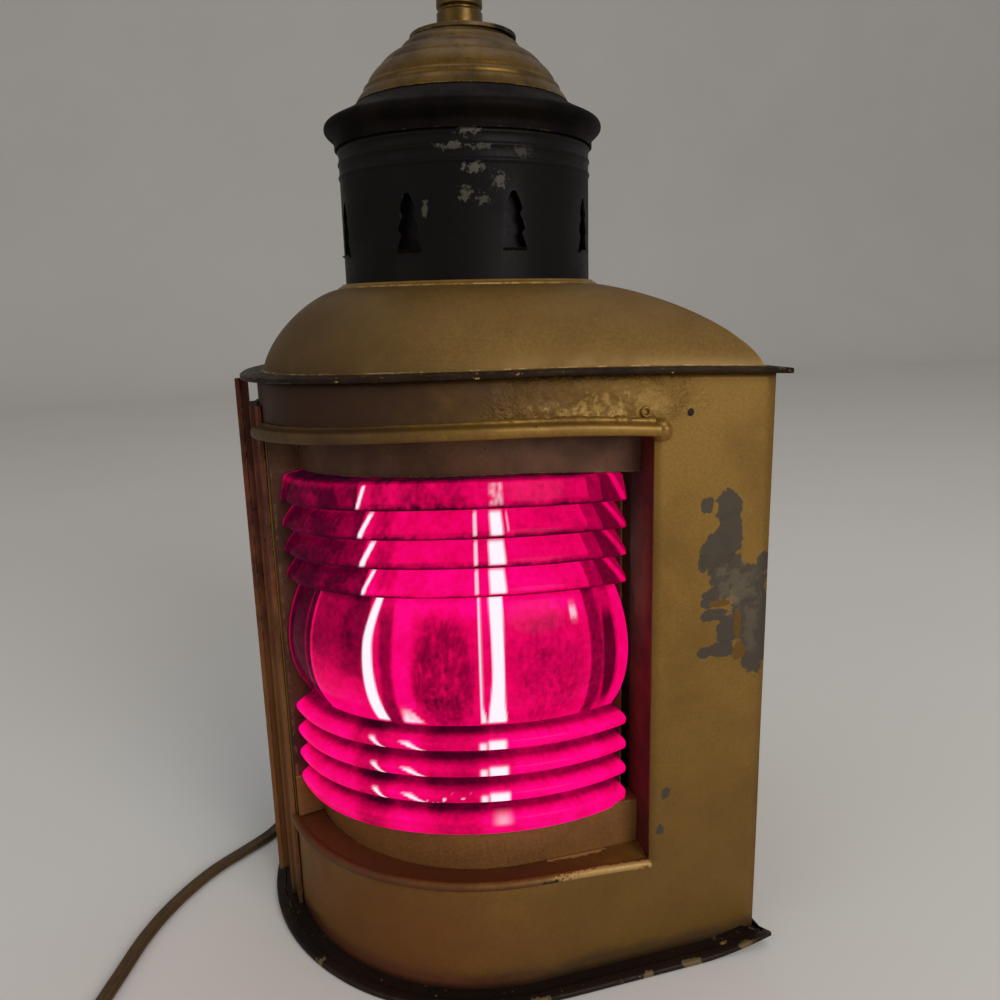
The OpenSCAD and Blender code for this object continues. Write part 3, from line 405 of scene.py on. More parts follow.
# painted shade: the wall darker at the top and foot toward the bow and low on the port side aft, where less
# light falls
paintedShade = [tonePatch((42, -74, 227), (84, 88, 24), (46, 22, 15), 1.1, 0.9),
         tonePatch((66, -56, 20), (62, 56, 28), (108, 58, 27), 1.2, 0.6),
         tonePatch((88, 62, 4), (20, 70, 96), (92, 64, 26), 1.2, 0.5, ragged=0.3, scale=50.0)]
sillChips = [chips((90, 28, 44.8), (1.8, 17, 3.2), (166, 132, 78), sparse=-0.1),
             chips((90, 9, 44.6), (1.8, 9, 3.0), (166, 132, 78), sparse=0.3),
             chips((89.8, 4, 43.8), (1.6, 8, 2.6), (40, 28, 24), sparse=0.3),
             chips((77.4, 18, 45.2), (1.4, 11, 1.4), (172, 140, 84), sparse=-0.1, ragged=0.6)]
baseChips = [chips(centre, radii, (106, 88, 56), sparse=0.1, ragged=0.8, amount=0.8) for centre, radii in (
    ((98, 58, 2), (2, 4.4, 3)), ((98, 82, 5), (2, 3.6, 3)), ((98, 40, 1.5), (1.6, 2.2, 2)),
    ((*onPlan(87.5, 98.4), 2), (2.4, 4, 3)), ((*onPlan(33, 98.4), 2), (2.4, 2.4, 2)))]
scuffs = [chips((*onPlan(a, 50.3), z), (wide, wide, high), (84, 79, 70), scale=620.0, ragged=1.0, soft=0.5,
                amount=share) for a, z, wide, high, share in (
    (79, 316.5, 5, 3.2, 0.8), (72, 310.6, 5.5, 1.4, 0.7), (84, 310.3, 4.5, 1.2, 0.6),
    (81, 303.4, 5, 2.0, 0.8), (91, 299, 3.2, 3.2, 0.7), (77, 294.5, 3, 3, 0.6), (84, 293, 3, 2.4, 0.5),
    (60, 290, 1.8, 3.4, 0.6), (101, 309, 5, 2.4, 0.35))]
paints = {
    "gold_paint": dict(tones=gold, metallic=0.4, roughness=0.38),
    "wall_paint": dict(tones=gold, metallic=0.4, cloud=22, flecks=0.2, wear=0.6, edges=0.25,
                       patches=paintedShade + paintedGlints + peels + mottles + islands + scars,
                       fade=dict(level=0.0072, depth=0.0055, uneven=0.013, color=(23, 15, 12)),
                       dents=spot((88, 22, 223), (9, 30, 10), None, soft=0.8, depth=34.0)),
    "roof_paint": dict(tones=[(118, 88, 38), *gold[1:]], metallic=0.38, roughness=0.42, cloud=18, flecks=0.22,
                       wear=0.7,
                       # painted shade: the roof darker toward the bow and round the foot of the chimney
                       patches=[tonePatch((20, -84, 240), (80, 62, 34), (54, 37, 20), 1.3, 0.55, scale=50.0),
                                tonePatch((0, 0, 264), (63, 63, 9), (74, 52, 26), 0.6, 0.5, ragged=0.1,
                                      scale=50.0)]),
    "hood_paint": dict(tones=gold, metallic=0.4, roughness=0.36, flecks=0.4, wear=0.8, edges=0.12,
                       # painted shade: the hood darker toward the bow
                       patches=[tonePatch((40, -80, 216), (62, 60, 14), (48, 27, 18), 1.0, 0.7)]),
    # a darker copy of the gold: painted shade on the upper band under the hood
    "band_paint": dict(tones=[(90, 56, 34), (58, 33, 22), (34, 22, 14), (150, 118, 70)], metallic=0.3,
                       roughness=0.42, wear=0.7),
    # a warmer copy of the gold: painted red glow from the lens on the lower band
    "low_band_paint": dict(tones=[(128, 86, 44), (92, 58, 30), (40, 26, 16), (160, 124, 70)], metallic=0.35),
    # dark red: painted shade and painted red glow from the lens on the jambs
    "jamb_paint": dict(tones=[(104, 34, 27), (58, 18, 17), (30, 16, 12), (140, 104, 58)], metallic=0.2,
                       roughness=0.5, wear=0.8),
    "sill_paint": dict(tones=gold, metallic=0.4, roughness=0.36, flecks=0.5, wear=0.7,
                       # painted shade and red glow on the sill toward the bow; the chips are wear
                       patches=[tonePatch((56, -46, 45), (56, 78, 3), (78, 34, 22), 0.9, 0.75), *sillChips]),
    "cap_paint": dict(tones=[(102, 76, 34), (58, 41, 20), (36, 25, 14), (146, 116, 62)], metallic=0.75,
                      roughness=0.3, gloss=0.1, flecks=0.45, wear=0.9),
    "washer_paint": dict(tones=[(78, 57, 28), (52, 37, 20), (30, 20, 12), (150, 120, 70)], metallic=0.4,
                         roughness=0.36,
                         patches=[tonePatch((9, 17, 359), (13, 15, 8), (14, 11, 10), 0.2, 1.0, scale=240.0)]),
    "edge_paint": dict(tones=[(42, 28, 16), (26, 17, 12), (168, 140, 84), (128, 104, 68)], metallic=0.2,
                       roughness=0.42, gloss=0.08, cloud=70, flecks=0.55, wear=0.8, reach=0.0006),
    "chipped_gold": dict(tones=[(84, 48, 30), (48, 24, 18), (24, 13, 11), (136, 98, 56)], metallic=0.2,
                         roughness=0.44, flecks=0.6, wear=0.9),
    # reddish: painted red glow from the lens on the bow post and fin, with a painted highlight low on the
    # post; the dark foot is the base's black paint
    "post_paint": dict(tones=[(104, 50, 31), (56, 26, 19), (20, 12, 10), (150, 108, 60)], metallic=0.2,
                       roughness=0.44, gloss=0.2, flecks=0.6, wear=0.8,
                       fade=dict(level=0.017, depth=0.009, uneven=0.01, color=(18, 12, 10)),
                       patches=[tonePatch((6, -92, 66), (22, 22, 70), (126, 84, 42), 0.9, 0.65, ragged=0.4,
                                      scale=90.0)]),
    "base_paint": dict(tones=[(34, 21, 14), (15, 10, 8), (112, 84, 46), (160, 130, 80)], gloss=0.15, cloud=30,
                       flecks=0.4, wear=0.7, edges=0.42, reach=0.0007, patches=baseChips),
    "chimney_paint": dict(tones=black, roughness=0.36, gloss=0.08, cloud=34, flecks=0.12, edges=0.25,
                          patches=scuffs),
    "crown_paint": dict(tones=[(20, 14, 11), (9, 7, 6), (7, 5, 5), (96, 76, 48)], roughness=0.42, gloss=0.03,
                        cloud=46, wear=0.9, edges=0.3),
    "brass": dict(tones=[(92, 70, 33), (58, 42, 20), (38, 26, 14), (150, 124, 72)], metallic=0.85,
                  roughness=0.26, cloud=60, flecks=0.25),
    "steel": dict(tones=[(150, 146, 138), (96, 90, 80), (70, 48, 34), (190, 188, 182)], metallic=0.9,
                  roughness=0.3, cloud=90),
    "insulator": dict(tones=[(40, 30, 26), (24, 18, 16), (70, 56, 44), (84, 66, 54)], roughness=0.28,
                      flecks=0.1),
    "cord": dict(tones=[(74, 52, 24), (44, 30, 14), (96, 76, 46), (110, 86, 52)], roughness=0.3, cloud=70,
                 flecks=0.08, height=0.00005),
    "rubber": dict(tones=[(22, 20, 19), (12, 11, 11), (46, 42, 38), (50, 46, 42)], roughness=0.45,
                   flecks=0.1)}
finishes.update({name: paintFinish(name + "_finish", **values) for name, values in paints.items()})


def lensFinish(name, base, stops, core):        # the glow follows the light painted on the lens
    material, tree, surface = newMaterial(name, {
        "Roughness": 0.16, "Metallic": 0.0, "Transmission Weight": 0.08, "Specular IOR Level": 0.05,
        "IOR": 1.2, "Emission Strength": 1.0})
    painted = add(tree, "ShaderNodeAttribute", attribute_name="light",
                  attribute_type="GEOMETRY").outputs["Color"]
    light = use(tree, litGlass, light=painted)
    ramp = add(tree, "ShaderNodeValToRGB", {0: light["Hot"]})
    while len(ramp.color_ramp.elements) < len(stops):
        ramp.color_ramp.elements.new(0.5)
    for element, (position, tone) in zip(ramp.color_ramp.elements, stops):
        element.position = position
        element.color = color(*tone)
    glow = blend(tree, light["Core"], ramp.outputs[0], color(*core))
    wire(surface, {"Emission Color": blend(tree, light["Black"], glow, color(10, 2, 8)),
                   "Base Color": blend(tree, light["Black"], color(*base), color(8, 2, 8))})
    return material


def clearFinish(name, tint, through, glow=(0, 0, 0), strength=0.0, stem=None):
    material, tree, surface = newMaterial(name, {
        "Roughness": 0.04, "Metallic": 0.0, "Transmission Weight": through, "Emission Strength": strength,
        "Emission Color": color(*glow)})
    tone = use(tree, clouded, tint=color(*tint), scale=60.0, detail=3.0)["Color"]
    wire(surface, {"Base Color": tone})
    if stem:                                    # the glass stem doesn't glow, only the wires above it
        low = use(tree, fadeBelow, level=stem, depth=0.004, uneven=0.002)["Mask"]
        wire(surface, {"Emission Color": blend(tree, low, color(*glow), (0, 0, 0, 1))})
    return material


finishes["red_glass"] = lensFinish("red_glass_finish", (44, 0, 12), [
    (0.0, (20, 3, 20)), (0.2, (78, 0, 34)), (0.5, (168, 0, 64)), (0.75, (232, 2, 92)), (1.0, (255, 4, 130))],
    (255, 244, 255))
finishes["blue_green_glass"] = lensFinish("blue_green_glass_finish", (0, 20, 44), [
    (0.0, (3, 12, 30)), (0.2, (0, 34, 78)), (0.5, (0, 84, 158)), (0.75, (4, 140, 210)),
    (1.0, (40, 196, 236))], (240, 254, 255))
finishes["clear_glass"] = clearFinish("clear_glass_finish", (250, 248, 236), 0.95)
finishes["filament"] = clearFinish("filament_finish", (250, 240, 200), 0.3, (255, 214, 150), 6.0, stem=0.0965)
print("finishes ready")


# Node trees: turned shapes, pieces set round an axis, rivets and beads of solder

def geometryTree(name, **inputs):
    tree, given = openTree(name, "GeometryNodeTree", {"geometry": "Geometry", **inputs, "finish": "Material"})
    tree.is_modifier = True
    return tree, given


def geo(tree, kind, inputs=None, **settings):
    return got(tree, "GeometryNode" + kind, inputs, **settings)


def endTree(tree, given, geometry):             # instances become real, and the finish is set
    real = geo(tree, "RealizeInstances", {"Geometry": geometry})
    return closeTree(tree, geometry=geo(tree, "SetMaterial", {"Geometry": real, "Material": given["Finish"]}))


def grown(name, points, edges, tree, finish, smooth=35.0, **values):    # runs a tree once, and keeps its mesh
    mesh = bpy.data.meshes.new(name + "_line")
    mesh.from_pydata([[c * mm for c in p] for p in points], edges, [])
    seed = bpy.data.objects.new(name + "_line", mesh)
    scene.collection.objects.link(seed)
    work = seed.modifiers.new("work", "NODES")
    work.node_group = tree
    idOf = {s.name: s.identifier for s in tree.interface.items_tree if s.in_out == "INPUT"}
    for key, value in {**values, "finish": finishes[finish]}.items():
        work[idOf[key.capitalize()]] = value
    made = evaluated(seed)
    bpy.data.objects.remove(seed)
    made.name = name
    return outward(linked(name, made, finish, smooth))


def makeTurning():                              # a closed section beside the axis, swept round it
    tree, given = geometryTree("turning", hub=0.01, start=0.0, sweep=2 * pi, steps=128, caps=False)
    section = geo(tree, "MeshToCurve", {0: given["Geometry"]})
    arc = geo(tree, "CurveArc", {"Resolution": given["Steps"], "Radius": given["Hub"],
                                 "Start Angle": given["Start"], "Sweep Angle": given["Sweep"]}, mode="RADIUS")
    circle = geo(tree, "CurvePrimitiveCircle", {"Resolution": given["Steps"], "Radius": given["Hub"]})
    path = geo(tree, "Switch", {"Switch": given["Caps"], "False": circle, "True": arc}, input_type="GEOMETRY")
    level = geo(tree, "SetCurveNormal", {"Curve": path}, mode="Z_UP")
    return endTree(tree, given, geo(tree, "CurveToMesh", {
        "Curve": level, "Profile Curve": section, "Fill Caps": given["Caps"]}))


def makeAround():                               # copies of a piece at equal angles round the axis
    tree, given = geometryTree("around", piece="Object", count=8, turn=0.0)
    piece = add(tree, "GeometryNodeObjectInfo", {"Object": given["Piece"]}, transform_space="ORIGINAL")
    line = geo(tree, "MeshLine", {"Count": given["Count"], "Offset": (0, 0, 0)})
    step = sums(tree, "DIVIDE", 2 * pi, given["Count"])
    angle = sums(tree, "MULTIPLY_ADD", geo(tree, "InputIndex"), step, given["Turn"])
    turn = got(tree, "ShaderNodeCombineXYZ", {"Z": angle})
    return endTree(tree, given, geo(tree, "InstanceOnPoints", {
        "Points": line, "Instance": piece.outputs["Geometry"], "Rotation": turn}))


def makeRivets():                               # domed head, shank and flat inner head at each point, along Y
    tree, given = geometryTree("rivets", shank=0.0014, head=0.0026, dome=0.0011, grip=0.0016)
    ball = geo(tree, "MeshUVSphere", {"Segments": 24, "Rings": 12, "Radius": 1.0})
    squashed = got(tree, "ShaderNodeCombineXYZ", {"X": given["Head"], "Y": given["Head"], "Z": given["Dome"]})
    lift = got(tree, "ShaderNodeCombineXYZ", {"Z": given["Grip"]})
    middle = got(tree, "ShaderNodeCombineXYZ", {"Z": sums(tree, "MULTIPLY", given["Grip"], 0.5)})
    longer = sums(tree, "ADD", given["Grip"], 0.0004)
    shank = geo(tree, "MeshCylinder", {"Vertices": 20, "Radius": given["Shank"], "Depth": longer})
    foot = geo(tree, "MeshCylinder", {"Vertices": 24, "Radius": given["Head"], "Depth": 0.0007})
    parts = add(tree, "GeometryNodeJoinGeometry")
    for part, moved in ((ball, {"Scale": squashed, "Translation": lift}), (shank, {"Translation": middle}),
                        (foot, {"Translation": (0, 0, -0.00035)})):
        wire(parts, {0: geo(tree, "Transform", {"Geometry": part, **moved})})
    return endTree(tree, given, geo(tree, "InstanceOnPoints", {
        "Points": given["Geometry"], "Instance": parts.outputs[0], "Rotation": (-pi / 2, 0, 0)}))


def makeSolderBead():                           # a lumpy bead that thickens toward the end of its line
    tree, given = geometryTree("solderBead", thin=0.0005, thick=0.0012, lumps=0.6, size=260.0, seed=3.0)
    line = geo(tree, "MeshToCurve", {0: given["Geometry"]})
    even = geo(tree, "ResampleCurve", {"Curve": line, "Length": 0.0008}, mode="LENGTH")
    rough = got(tree, "ShaderNodeTexNoise", {"Vector": geo(tree, "InputPosition"), "W": given["Seed"],
                                             "Scale": given["Size"], "Detail": 2.0}, noise_dimensions="4D")
    width = span(tree, geo(tree, "SplineParameter"), 0.25, 1.0, given["Thin"], given["Thick"])
    lumps = span(tree, rough, 0.3, 0.7, 0.45, 1.25, False)
    mixed = got(tree, "ShaderNodeMix", {0: given["Lumps"], 2: 1.0, 3: lumps}, data_type="FLOAT")
    radius = sums(tree, "MULTIPLY", width, mixed)
    sized = geo(tree, "SetCurveRadius", {"Curve": even, "Radius": radius})
    ring = geo(tree, "CurvePrimitiveCircle", {"Resolution": 10, "Radius": 1.0})
    return endTree(tree, given, geo(tree, "CurveToMesh", {
        "Curve": sized, "Profile Curve": ring, "Fill Caps": True, "Scale": radius}))


turning, around, rivets, solderBead = makeTurning(), makeAround(), makeRivets(), makeSolderBead()
print("node trees ready")


# Shapes that several pieces use

def rounded(points, radius=0.5, steps=3, closed=True):          # each corner becomes a small curve
    result = []
    n = len(points)
    for i, p in enumerate(points):
        reach = radius[i] if isinstance(radius, (list, tuple)) else radius
        if (not closed and i in (0, n - 1)) or reach <= 0:
            result.append(tuple(p))
            continue
        here, before, after = Vector(p), Vector(points[i - 1]), Vector(points[(i + 1) % n])
        ways = (before - here, after - here)
        a, b = (here + way.normalized() * min(reach, way.length * 0.45) for way in ways)
        for t in (k / steps for k in range(steps + 1)):
            result.append(tuple(a * (1 - t) ** 2 + here * 2 * t * (1 - t) + b * t * t))
    return result


def turned(name, section, finish, start=0.0, sweep=360.0, steps=144, smooth=40.0):       # of (radius, height)
    hub = 10.0
    points = [(r - hub, -z, 0) for r, z in section]
    edges = [(i, (i + 1) % len(points)) for i in range(len(points))]
    return grown(name, points, edges, turning, finish, smooth, hub=hub * mm, caps=sweep < 360, steps=steps,
                 start=radians(start), sweep=radians(sweep))


def loft(name, loops, finish, caps=True, smooth=35.0):          # rings of equal length, joined in order
    n, last = len(loops[0]), len(loops) - 1
    faces = [(j * n + i, j * n + (i + 1) % n, (j + 1) * n + (i + 1) % n, (j + 1) * n + i)
             for j in range(last) for i in range(n)]
    if caps:
        faces += [tuple(range(n))[::-1], tuple(range(last * n, last * n + n))]
    return outward(pieceFrom(name, [p for loop in loops for p in loop], faces, finish, smooth))


bodySizes = dict(radius=88.0, back=91.0, sheet=0.8, height=232.0, sill=45.0, head=213.5, jamb=44.0, post=15.0)


def planLoop(out, back, across):                # from the port back corner, all the way round
    r, last = bodySizes["radius"] + out, bodySizes["back"] + back
    loop = [(r, last * (1 - k / 20)) for k in range(20)]
    loop += [onPlan(90 - 180 * k / 96, r) for k in range(97)]
    loop += [(-r, last * k / 20) for k in range(1, 21)]
    return loop + [(-r + 2 * r * k / across, last) for k in range(1, across)]


def portLine(out, aft, fore):                   # along the port side, and round to an angle from the bow
    r = bodySizes["radius"] + out
    line = [(r, aft * (1 - k / 14)) for k in range(14)]
    return line + [onPlan(90 - (90 - fore) * k / 60, r) for k in range(61)]


def plateArch(y):                               # the roof plate is a little higher amidships than at its ends
    reach = y + 15
    return 1.0 - (5.4e-4 if reach < 0 else 2.5e-4) * reach * reach


def sillArch(y):                                # so is the rim of the sill
    return 1.8 - 6.9e-4 * (y + 25) ** 2


def sagged(obj, fore=1.35e-3, aft=1.0e-3, middle=-19.0):        # window pieces hang lower at their ends
    for v in obj.data.vertices:
        reach = v.co.y / mm - middle
        v.co.z -= (fore if reach < 0 else aft) * reach * reach * mm
    return obj


# Cord: the free length, its coil and its plug, in metres

cordSizes = dict(width=0.006, thick=0.0032, web=0.0021, length=1.8, turns=6, pitch=0.0066, rise=0.0037,
                 end=0.006, tail=0.032, exit=(0.0, 0.115, 0.014))
cordRoute = [
    (0, 0.115, 0.014), (0, 0.120, 0.014), (-0.001, 0.129, 0.012), (-0.004, 0.138, 0.008),
    (-0.010, 0.147, 0.004), (-0.020, 0.154, 0.002), (-0.033, 0.158, 0.0017), (-0.048, 0.158, 0.0017),
    (-0.064, 0.155, 0.0017), (-0.080, 0.149, 0.0017), (-0.095, 0.140, 0.0017), (-0.108, 0.128, 0.0017),
    (-0.118, 0.114, 0.0017), (-0.125, 0.098, 0.0017), (-0.129, 0.081, 0.0017), (-0.131, 0.064, 0.0017),
    (-0.132, 0.047, 0.0017), (-0.132, 0.030, 0.0017), (-0.131, 0.013, 0.0017), (-0.128, -0.004, 0.0017),
    (-0.123, -0.020, 0.0017), (-0.115, -0.035, 0.0017), (-0.105, -0.049, 0.0017), (-0.093, -0.061, 0.0017),
    (-0.079, -0.072, 0.0017), (-0.066, -0.082, 0.0017), (-0.053, -0.091, 0.0017), (-0.040, -0.100, 0.0017),
    (-0.030, -0.112, 0.0017), (-0.020, -0.125, 0.0017), (-0.008, -0.136, 0.0017), (0.005, -0.145, 0.0017),
    (0.019, -0.152, 0.0017), (0.033, -0.157, 0.0017), (0.047, -0.162, 0.0017), (0.062, -0.167, 0.0018),
    (0.078, -0.1725, 0.0021), (0.094, -0.178, 0.0023), (0.106, -0.182, 0.0023)]


def wholeCord():                                # the route, the coil in two layers, and the tail to the plug
    points = [Vector(p) for p in cordRoute]
    turns, pitch, end, tail = (cordSizes[key] for key in ("turns", "pitch", "end", "tail"))
    used = sum((b - a).length for a, b in zip(points, points[1:]))
    floor = points[-1]
    ahead = (floor - points[-2]).normalized()
    outer = (cordSizes["length"] - used - end - tail) / (turns * 2 * pi) + pitch * turns / 4
    start = atan2(-ahead.x, ahead.y)
    centre = floor.xy + end * ahead.xy - outer * Vector((cos(start), sin(start)))
    for s in (i / 24 for i in range(turns * 24 + 1)):
        radius = outer - pitch * (turns / 2 - abs(s - turns / 2))
        x = min(1.0, max(0.0, (s - turns / 2) * 2 + 0.5))
        angle = start + 2 * pi * s
        points.append(Vector((centre.x + radius * cos(angle), centre.y + radius * sin(angle),
                              floor.z + cordSizes["rise"] * x * x * (3 - 2 * x))))
    last, away = points[-1], Vector((-sin(start), cos(start), 0))
    return points + [last + away * tail * k / 4 for k in (1, 2, 3, 4)]


def smoothPath(points, steps=3):                # passes through every point
    result = []
    for i in range(len(points) - 1):
        a, b = points[max(0, i - 1)], points[i]
        c, d = points[i + 1], points[min(len(points) - 1, i + 2)]
        for t in (k / steps for k in range(steps)):
            result.append(0.5 * (2 * b + (c - a) * t + (2 * a - 5 * b + 4 * c - d) * t * t
                                 + (3 * b - a - 3 * c + d) * t * t * t))
    return result + [points[-1]]


def twinSection(width, thick, web):             # two round cores joined by a thinner web
    core = thick / 2
    side = width / 2 - core
    half = [(side + core * cos(a), core * sin(a)) for a in (radians(-126 + 28 * k) for k in range(10))]
    return half + [(0.0, web / 2)] + [(-x, -y) for x, y in half] + [(0.0, -web / 2)]


def tubeAlong(name, path, section, finish):     # the section's broad side stays level
    rings = []
    for i, p in enumerate(path):
        ahead = (path[min(len(path) - 1, i + 1)] - path[max(0, i - 1)]).normalized()
        across = Vector((0, 0, 1)).cross(ahead)
        across = across.normalized() if across.length > 0.05 else Vector((1, 0, 0))
        over = ahead.cross(across)
        rings.append([(p + across * x + over * y) / mm for x, y in section])
    return loft(name, rings, finish, smooth=50)


cordPath = wholeCord()
section = twinSection(cordSizes["width"], cordSizes["thick"], cordSizes["web"])
freeCord = tubeAlong("free_cord", smoothPath(cordPath), section, "cord")
settle(freeCord, "brown_cord", "cord_run", "cord_coil")
plug = dressed("plug_body", "rubber", "black_rubber", edge=1.8, segments=3, name="plug")
blades = dressed("plug_blades", "brass", "brass", name="plug_contacts")
coilTie = dressed("coil_tie", "rubber", "black_rubber", edge=0.25, name="cord_tie")
print("cord laid")


# Body: the wall, the roof plate, the roof and the base

wallSteps = dict(aft=12, side=14, round=60, post=6)             # columns from the back corner to the bow


def wallColumns():                              # places on the plan and their outward directions
    r, side, back = bodySizes["radius"], bodySizes["jamb"], bodySizes["back"]
    aft, along, bend, front = wallSteps.values()
    post = degrees(asin(bodySizes["post"] / r))
    angles = [90 - (90 - post) * k / bend for k in range(bend)]
    angles += [post - post * k / front for k in range(front)] + [0.0]
    port = [(r, back - (back - side) * k / aft, 1, 0.0) for k in range(aft)]
    port += [(r, side * (1 - k / along), 1, 0.0) for k in range(along)]
    port += [(*onPlan(a, r), *onPlan(a, 1)) for a in angles]
    return port + [(-x, y, -nx, ny) for x, y, nx, ny in reversed(port[:-1])]


def wallOfBody(dent=0.22, dentSize=55.0):
    columns, top = wallColumns(), bodySizes["height"]
    n, sheet = len(columns), bodySizes["sheet"]
    low, high = bodySizes["sill"] - sheet, bodySizes["head"]
    rows = [sheet + (low - sheet) * k / 14 for k in range(14)]
    rows += [low + (high - low) * k / 48 for k in range(48)]
    rows += [high + (top - high) * k / 8 for k in range(9)]
    points = []
    for z in rows:
        near = min(1.0, z / low) if z <= low else max(0.0, 1 - (z - low) / 60)
        above = max(0.0, (z - high) / (top - high))
        for x, y, nx, ny in columns:
            out = noise.noise(Vector((x, y, z)) / dentSize) * dent - 0.5 * dent - 0.1
            lift = near ** 2 * sillArch(y) * (abs(x) > 14) + above * plateArch(y)
            points.append((x + nx * out, y + ny * out, z + lift))
    faces, first = [], wallSteps["aft"]         # the window starts after these columns
    last = first + wallSteps["side"] + wallSteps["round"]
    for j in range(len(rows) - 1):
        beside = low - 0.01 <= rows[j] and rows[j + 1] <= high + 0.01           # at the height of the windows
        for i in range(n - 1):
            if not (beside and (first <= i < last or n - last - 1 <= i < n - first - 1)):
                faces.append((j * n + i, (j + 1) * n + i, (j + 1) * n + i + 1, j * n + i + 1))
    wall = pieceFrom("body_wall", points, faces, "wall_paint", 50)
    sheetFrom(wall, sheet, lambda f: f.normal.dot(f.calc_center_median() * Vector((1, 1, 0))))
    settle(wall, "gold_paint", "body_shell")


def roofPlate():
    loops = []
    for out, z in rounded([(-14.5, 232.3), (6.0, 232.3), (6.0, 234.3), (-14.5, 234.3)], [0, 0.7, 0.7, 0]):
        loop = planLoop(out, 3.0 if out > 0 else out, 20)
        loops.append([(x, y, z + plateArch(y) + noise.noise(Vector((x, y, 40)) / 26) * 0.35 * (out > 0))
                      for x, y in loop])
    plate = loft("roof_plate", loops + [loops[0]], "edge_paint", caps=False)
    settle(plate, "chipped_gold_paint", "top_plate")


roofSizes = dict(eaves=234.3, seat=263.5, inset=3.2, corner=3.5, top=53.0, fullness=1.45, sheet=0.7, steps=30)


def roofDome():
    eaves, seat, top, steps = (roofSizes[key] for key in ("eaves", "seat", "top", "steps"))
    r, back, inset = bodySizes["radius"], bodySizes["back"], roofSizes["inset"]
    corner = 90 + degrees(atan((back - roofSizes["corner"]) / (r - roofSizes["corner"])))
    angles = [a for a in (180 * k / 72 for k in range(73)) if abs(a - corner) > 1.2] + [corner]
    angles = sorted(angles + [360 - a for a in angles if 0 < a < 180])
    def reach(a):                               # of the roof's foot, on the round and on the flat sides
        a = min(a, 360 - a)
        return r - inset if a <= 90 else min((r - inset) / max(0.001, sin(radians(a))),
                                             (back - inset) / max(0.001, -cos(radians(a))))
    rings = []
    for t in (pi / 2 * k / steps for k in range(steps + 1)):
        u, v = 1 - cos(t) ** (2 / roofSizes["fullness"]), sin(t) ** (2 / roofSizes["fullness"])
        ring = [onPlan(a, reach(a) * (1 - u) + top * u) for a in angles]
        dents = [noise.noise(Vector((x, y, 90 + v * 20)) / 34) * 0.3 * sin(pi * min(1, v)) for x, y in ring]
        rings.append([(x, y, eaves + (seat - eaves) * v + plateArch(y) * (1 - v) + dent)
                      for (x, y), dent in zip(ring, dents)])
    foots = [[(x * s, y * s, z - d) for x, y, z in rings[0]] for s, d in ((1.012, 0.0), (1.006, -0.25))]
    flat = [[(*onPlan(a, r), seat) for a in angles] for r in (49, 45)]
    dome = loft("roof_dome_sheet", foots + rings + flat, "roof_paint", caps=False, smooth=42)
    sheetFrom(dome, roofSizes["sheet"], lambda f: f.normal.z * f.calc_area())
    settle(dome, "gold_paint", "roof_dome")


baseSizes = dict(out=10.0, hem=4.0, high=2.4, sheet=0.8, curl=4.6)


def baseFloor():                                # its edge is folded over, and curls at the port back corner
    wide, high, sheet = baseSizes["out"], baseSizes["high"], baseSizes["sheet"]
    hem = wide - baseSizes["hem"]
    section = rounded([(wide, 0.0), (wide, high), (hem, high), (hem - 0.3, sheet)], [0.9, 0.9, 0.5, 0])
    loops = []
    for out, z in [(-40, 0.0), *section, (-40, sheet)]:
        loop = []
        for x, y in planLoop(out, out * (0.25 if out > 0 else 1.0), 24):
            aft, port = min(1.0, max(0.0, (y - 62) / 31)), min(1.0, max(0.0, (x - 88.3) / 9.7))
            wave = max(0.0, noise.noise(Vector((x, y, 7)) / 30)) * 0.7 * (out > 4)
            loop.append((x, y, z + baseSizes["curl"] * aft * aft * port + wave))
        loops.append(loop)
    settle(loft("base_sheet", loops, "base_paint"), "black_paint", "base_plate")


wallOfBody()
roofPlate()
roofDome()
baseFloor()
print("body built")


# Windows: hoods, sills and the solder that holds them

solderLump = dict(at=(88.2, 46.0, 215.6), size=(4.6, 3.7, 4.1))
solderRing = dict(at=(88.6, 40.2, 221.6), radius=1.5, thick=0.42)


def lump(hood):                                 # of solder, at the hood's aft end
    with editing(hood.data) as work:
        ball = bmesh.ops.create_icosphere(work, subdivisions=4, radius=1.0)
        for v in ball["verts"]:
            p = v.co.copy()
            wobble = 1 + 0.16 * noise.noise(p * 1.7) + 0.05 * noise.noise(p * 5)
            v.co = (Vector(solderLump["at"]) + p * Vector(solderLump["size"]) * wobble) * mm
    shadeByAngle(hood.data, 60)


windowSizes = dict(aft=44.0, hoodFore=10.8, beadAft=43.5, beadFore=11.5, beadHeight=218.4, sillFore=9.95)
hoodDroop = dict(fore=0.9e-3, aft=0.8e-3, middle=-14)           # the upper band follows it


def windowHood(finish):
    z0 = bodySizes["head"]
    loops = []
    for out, up in rounded([(0.1, 0), (4.4, 0.1), (5.0, 1.2), (5.0, 3.1), (4.3, 4.2), (2.2, 4.3), (0.8, 4.5),
                            (0.1, 5.2)], 0.6, 2):
        line = portLine(out, windowSizes["aft"], windowSizes["hoodFore"])
        wave = [noise.noise(Vector((x, y, z0 + up)) / 9) * 0.16 for x, y in line]
        loops.append([(x + w, y, z0 + up + w) for (x, y), w in zip(line, wave)])
    hood = loft("hood_strip", list(zip(*loops)), finish, smooth=50)
    lump(hood)
    line = portLine(0.0, windowSizes["beadAft"], windowSizes["beadFore"])
    line = [(x, y, windowSizes["beadHeight"]) for x, y in reversed(line)]
    edges = [(i, i + 1) for i in range(len(line) - 1)]
    bead = grown("hood_bead", line, edges, solderBead, finish, 60, thin=0.0004, thick=0.0018, lumps=0.9)
    ring = bubble("ring", finish=finish, **solderRing)
    return sagged(joined(hood, bead, ring), **hoodDroop)


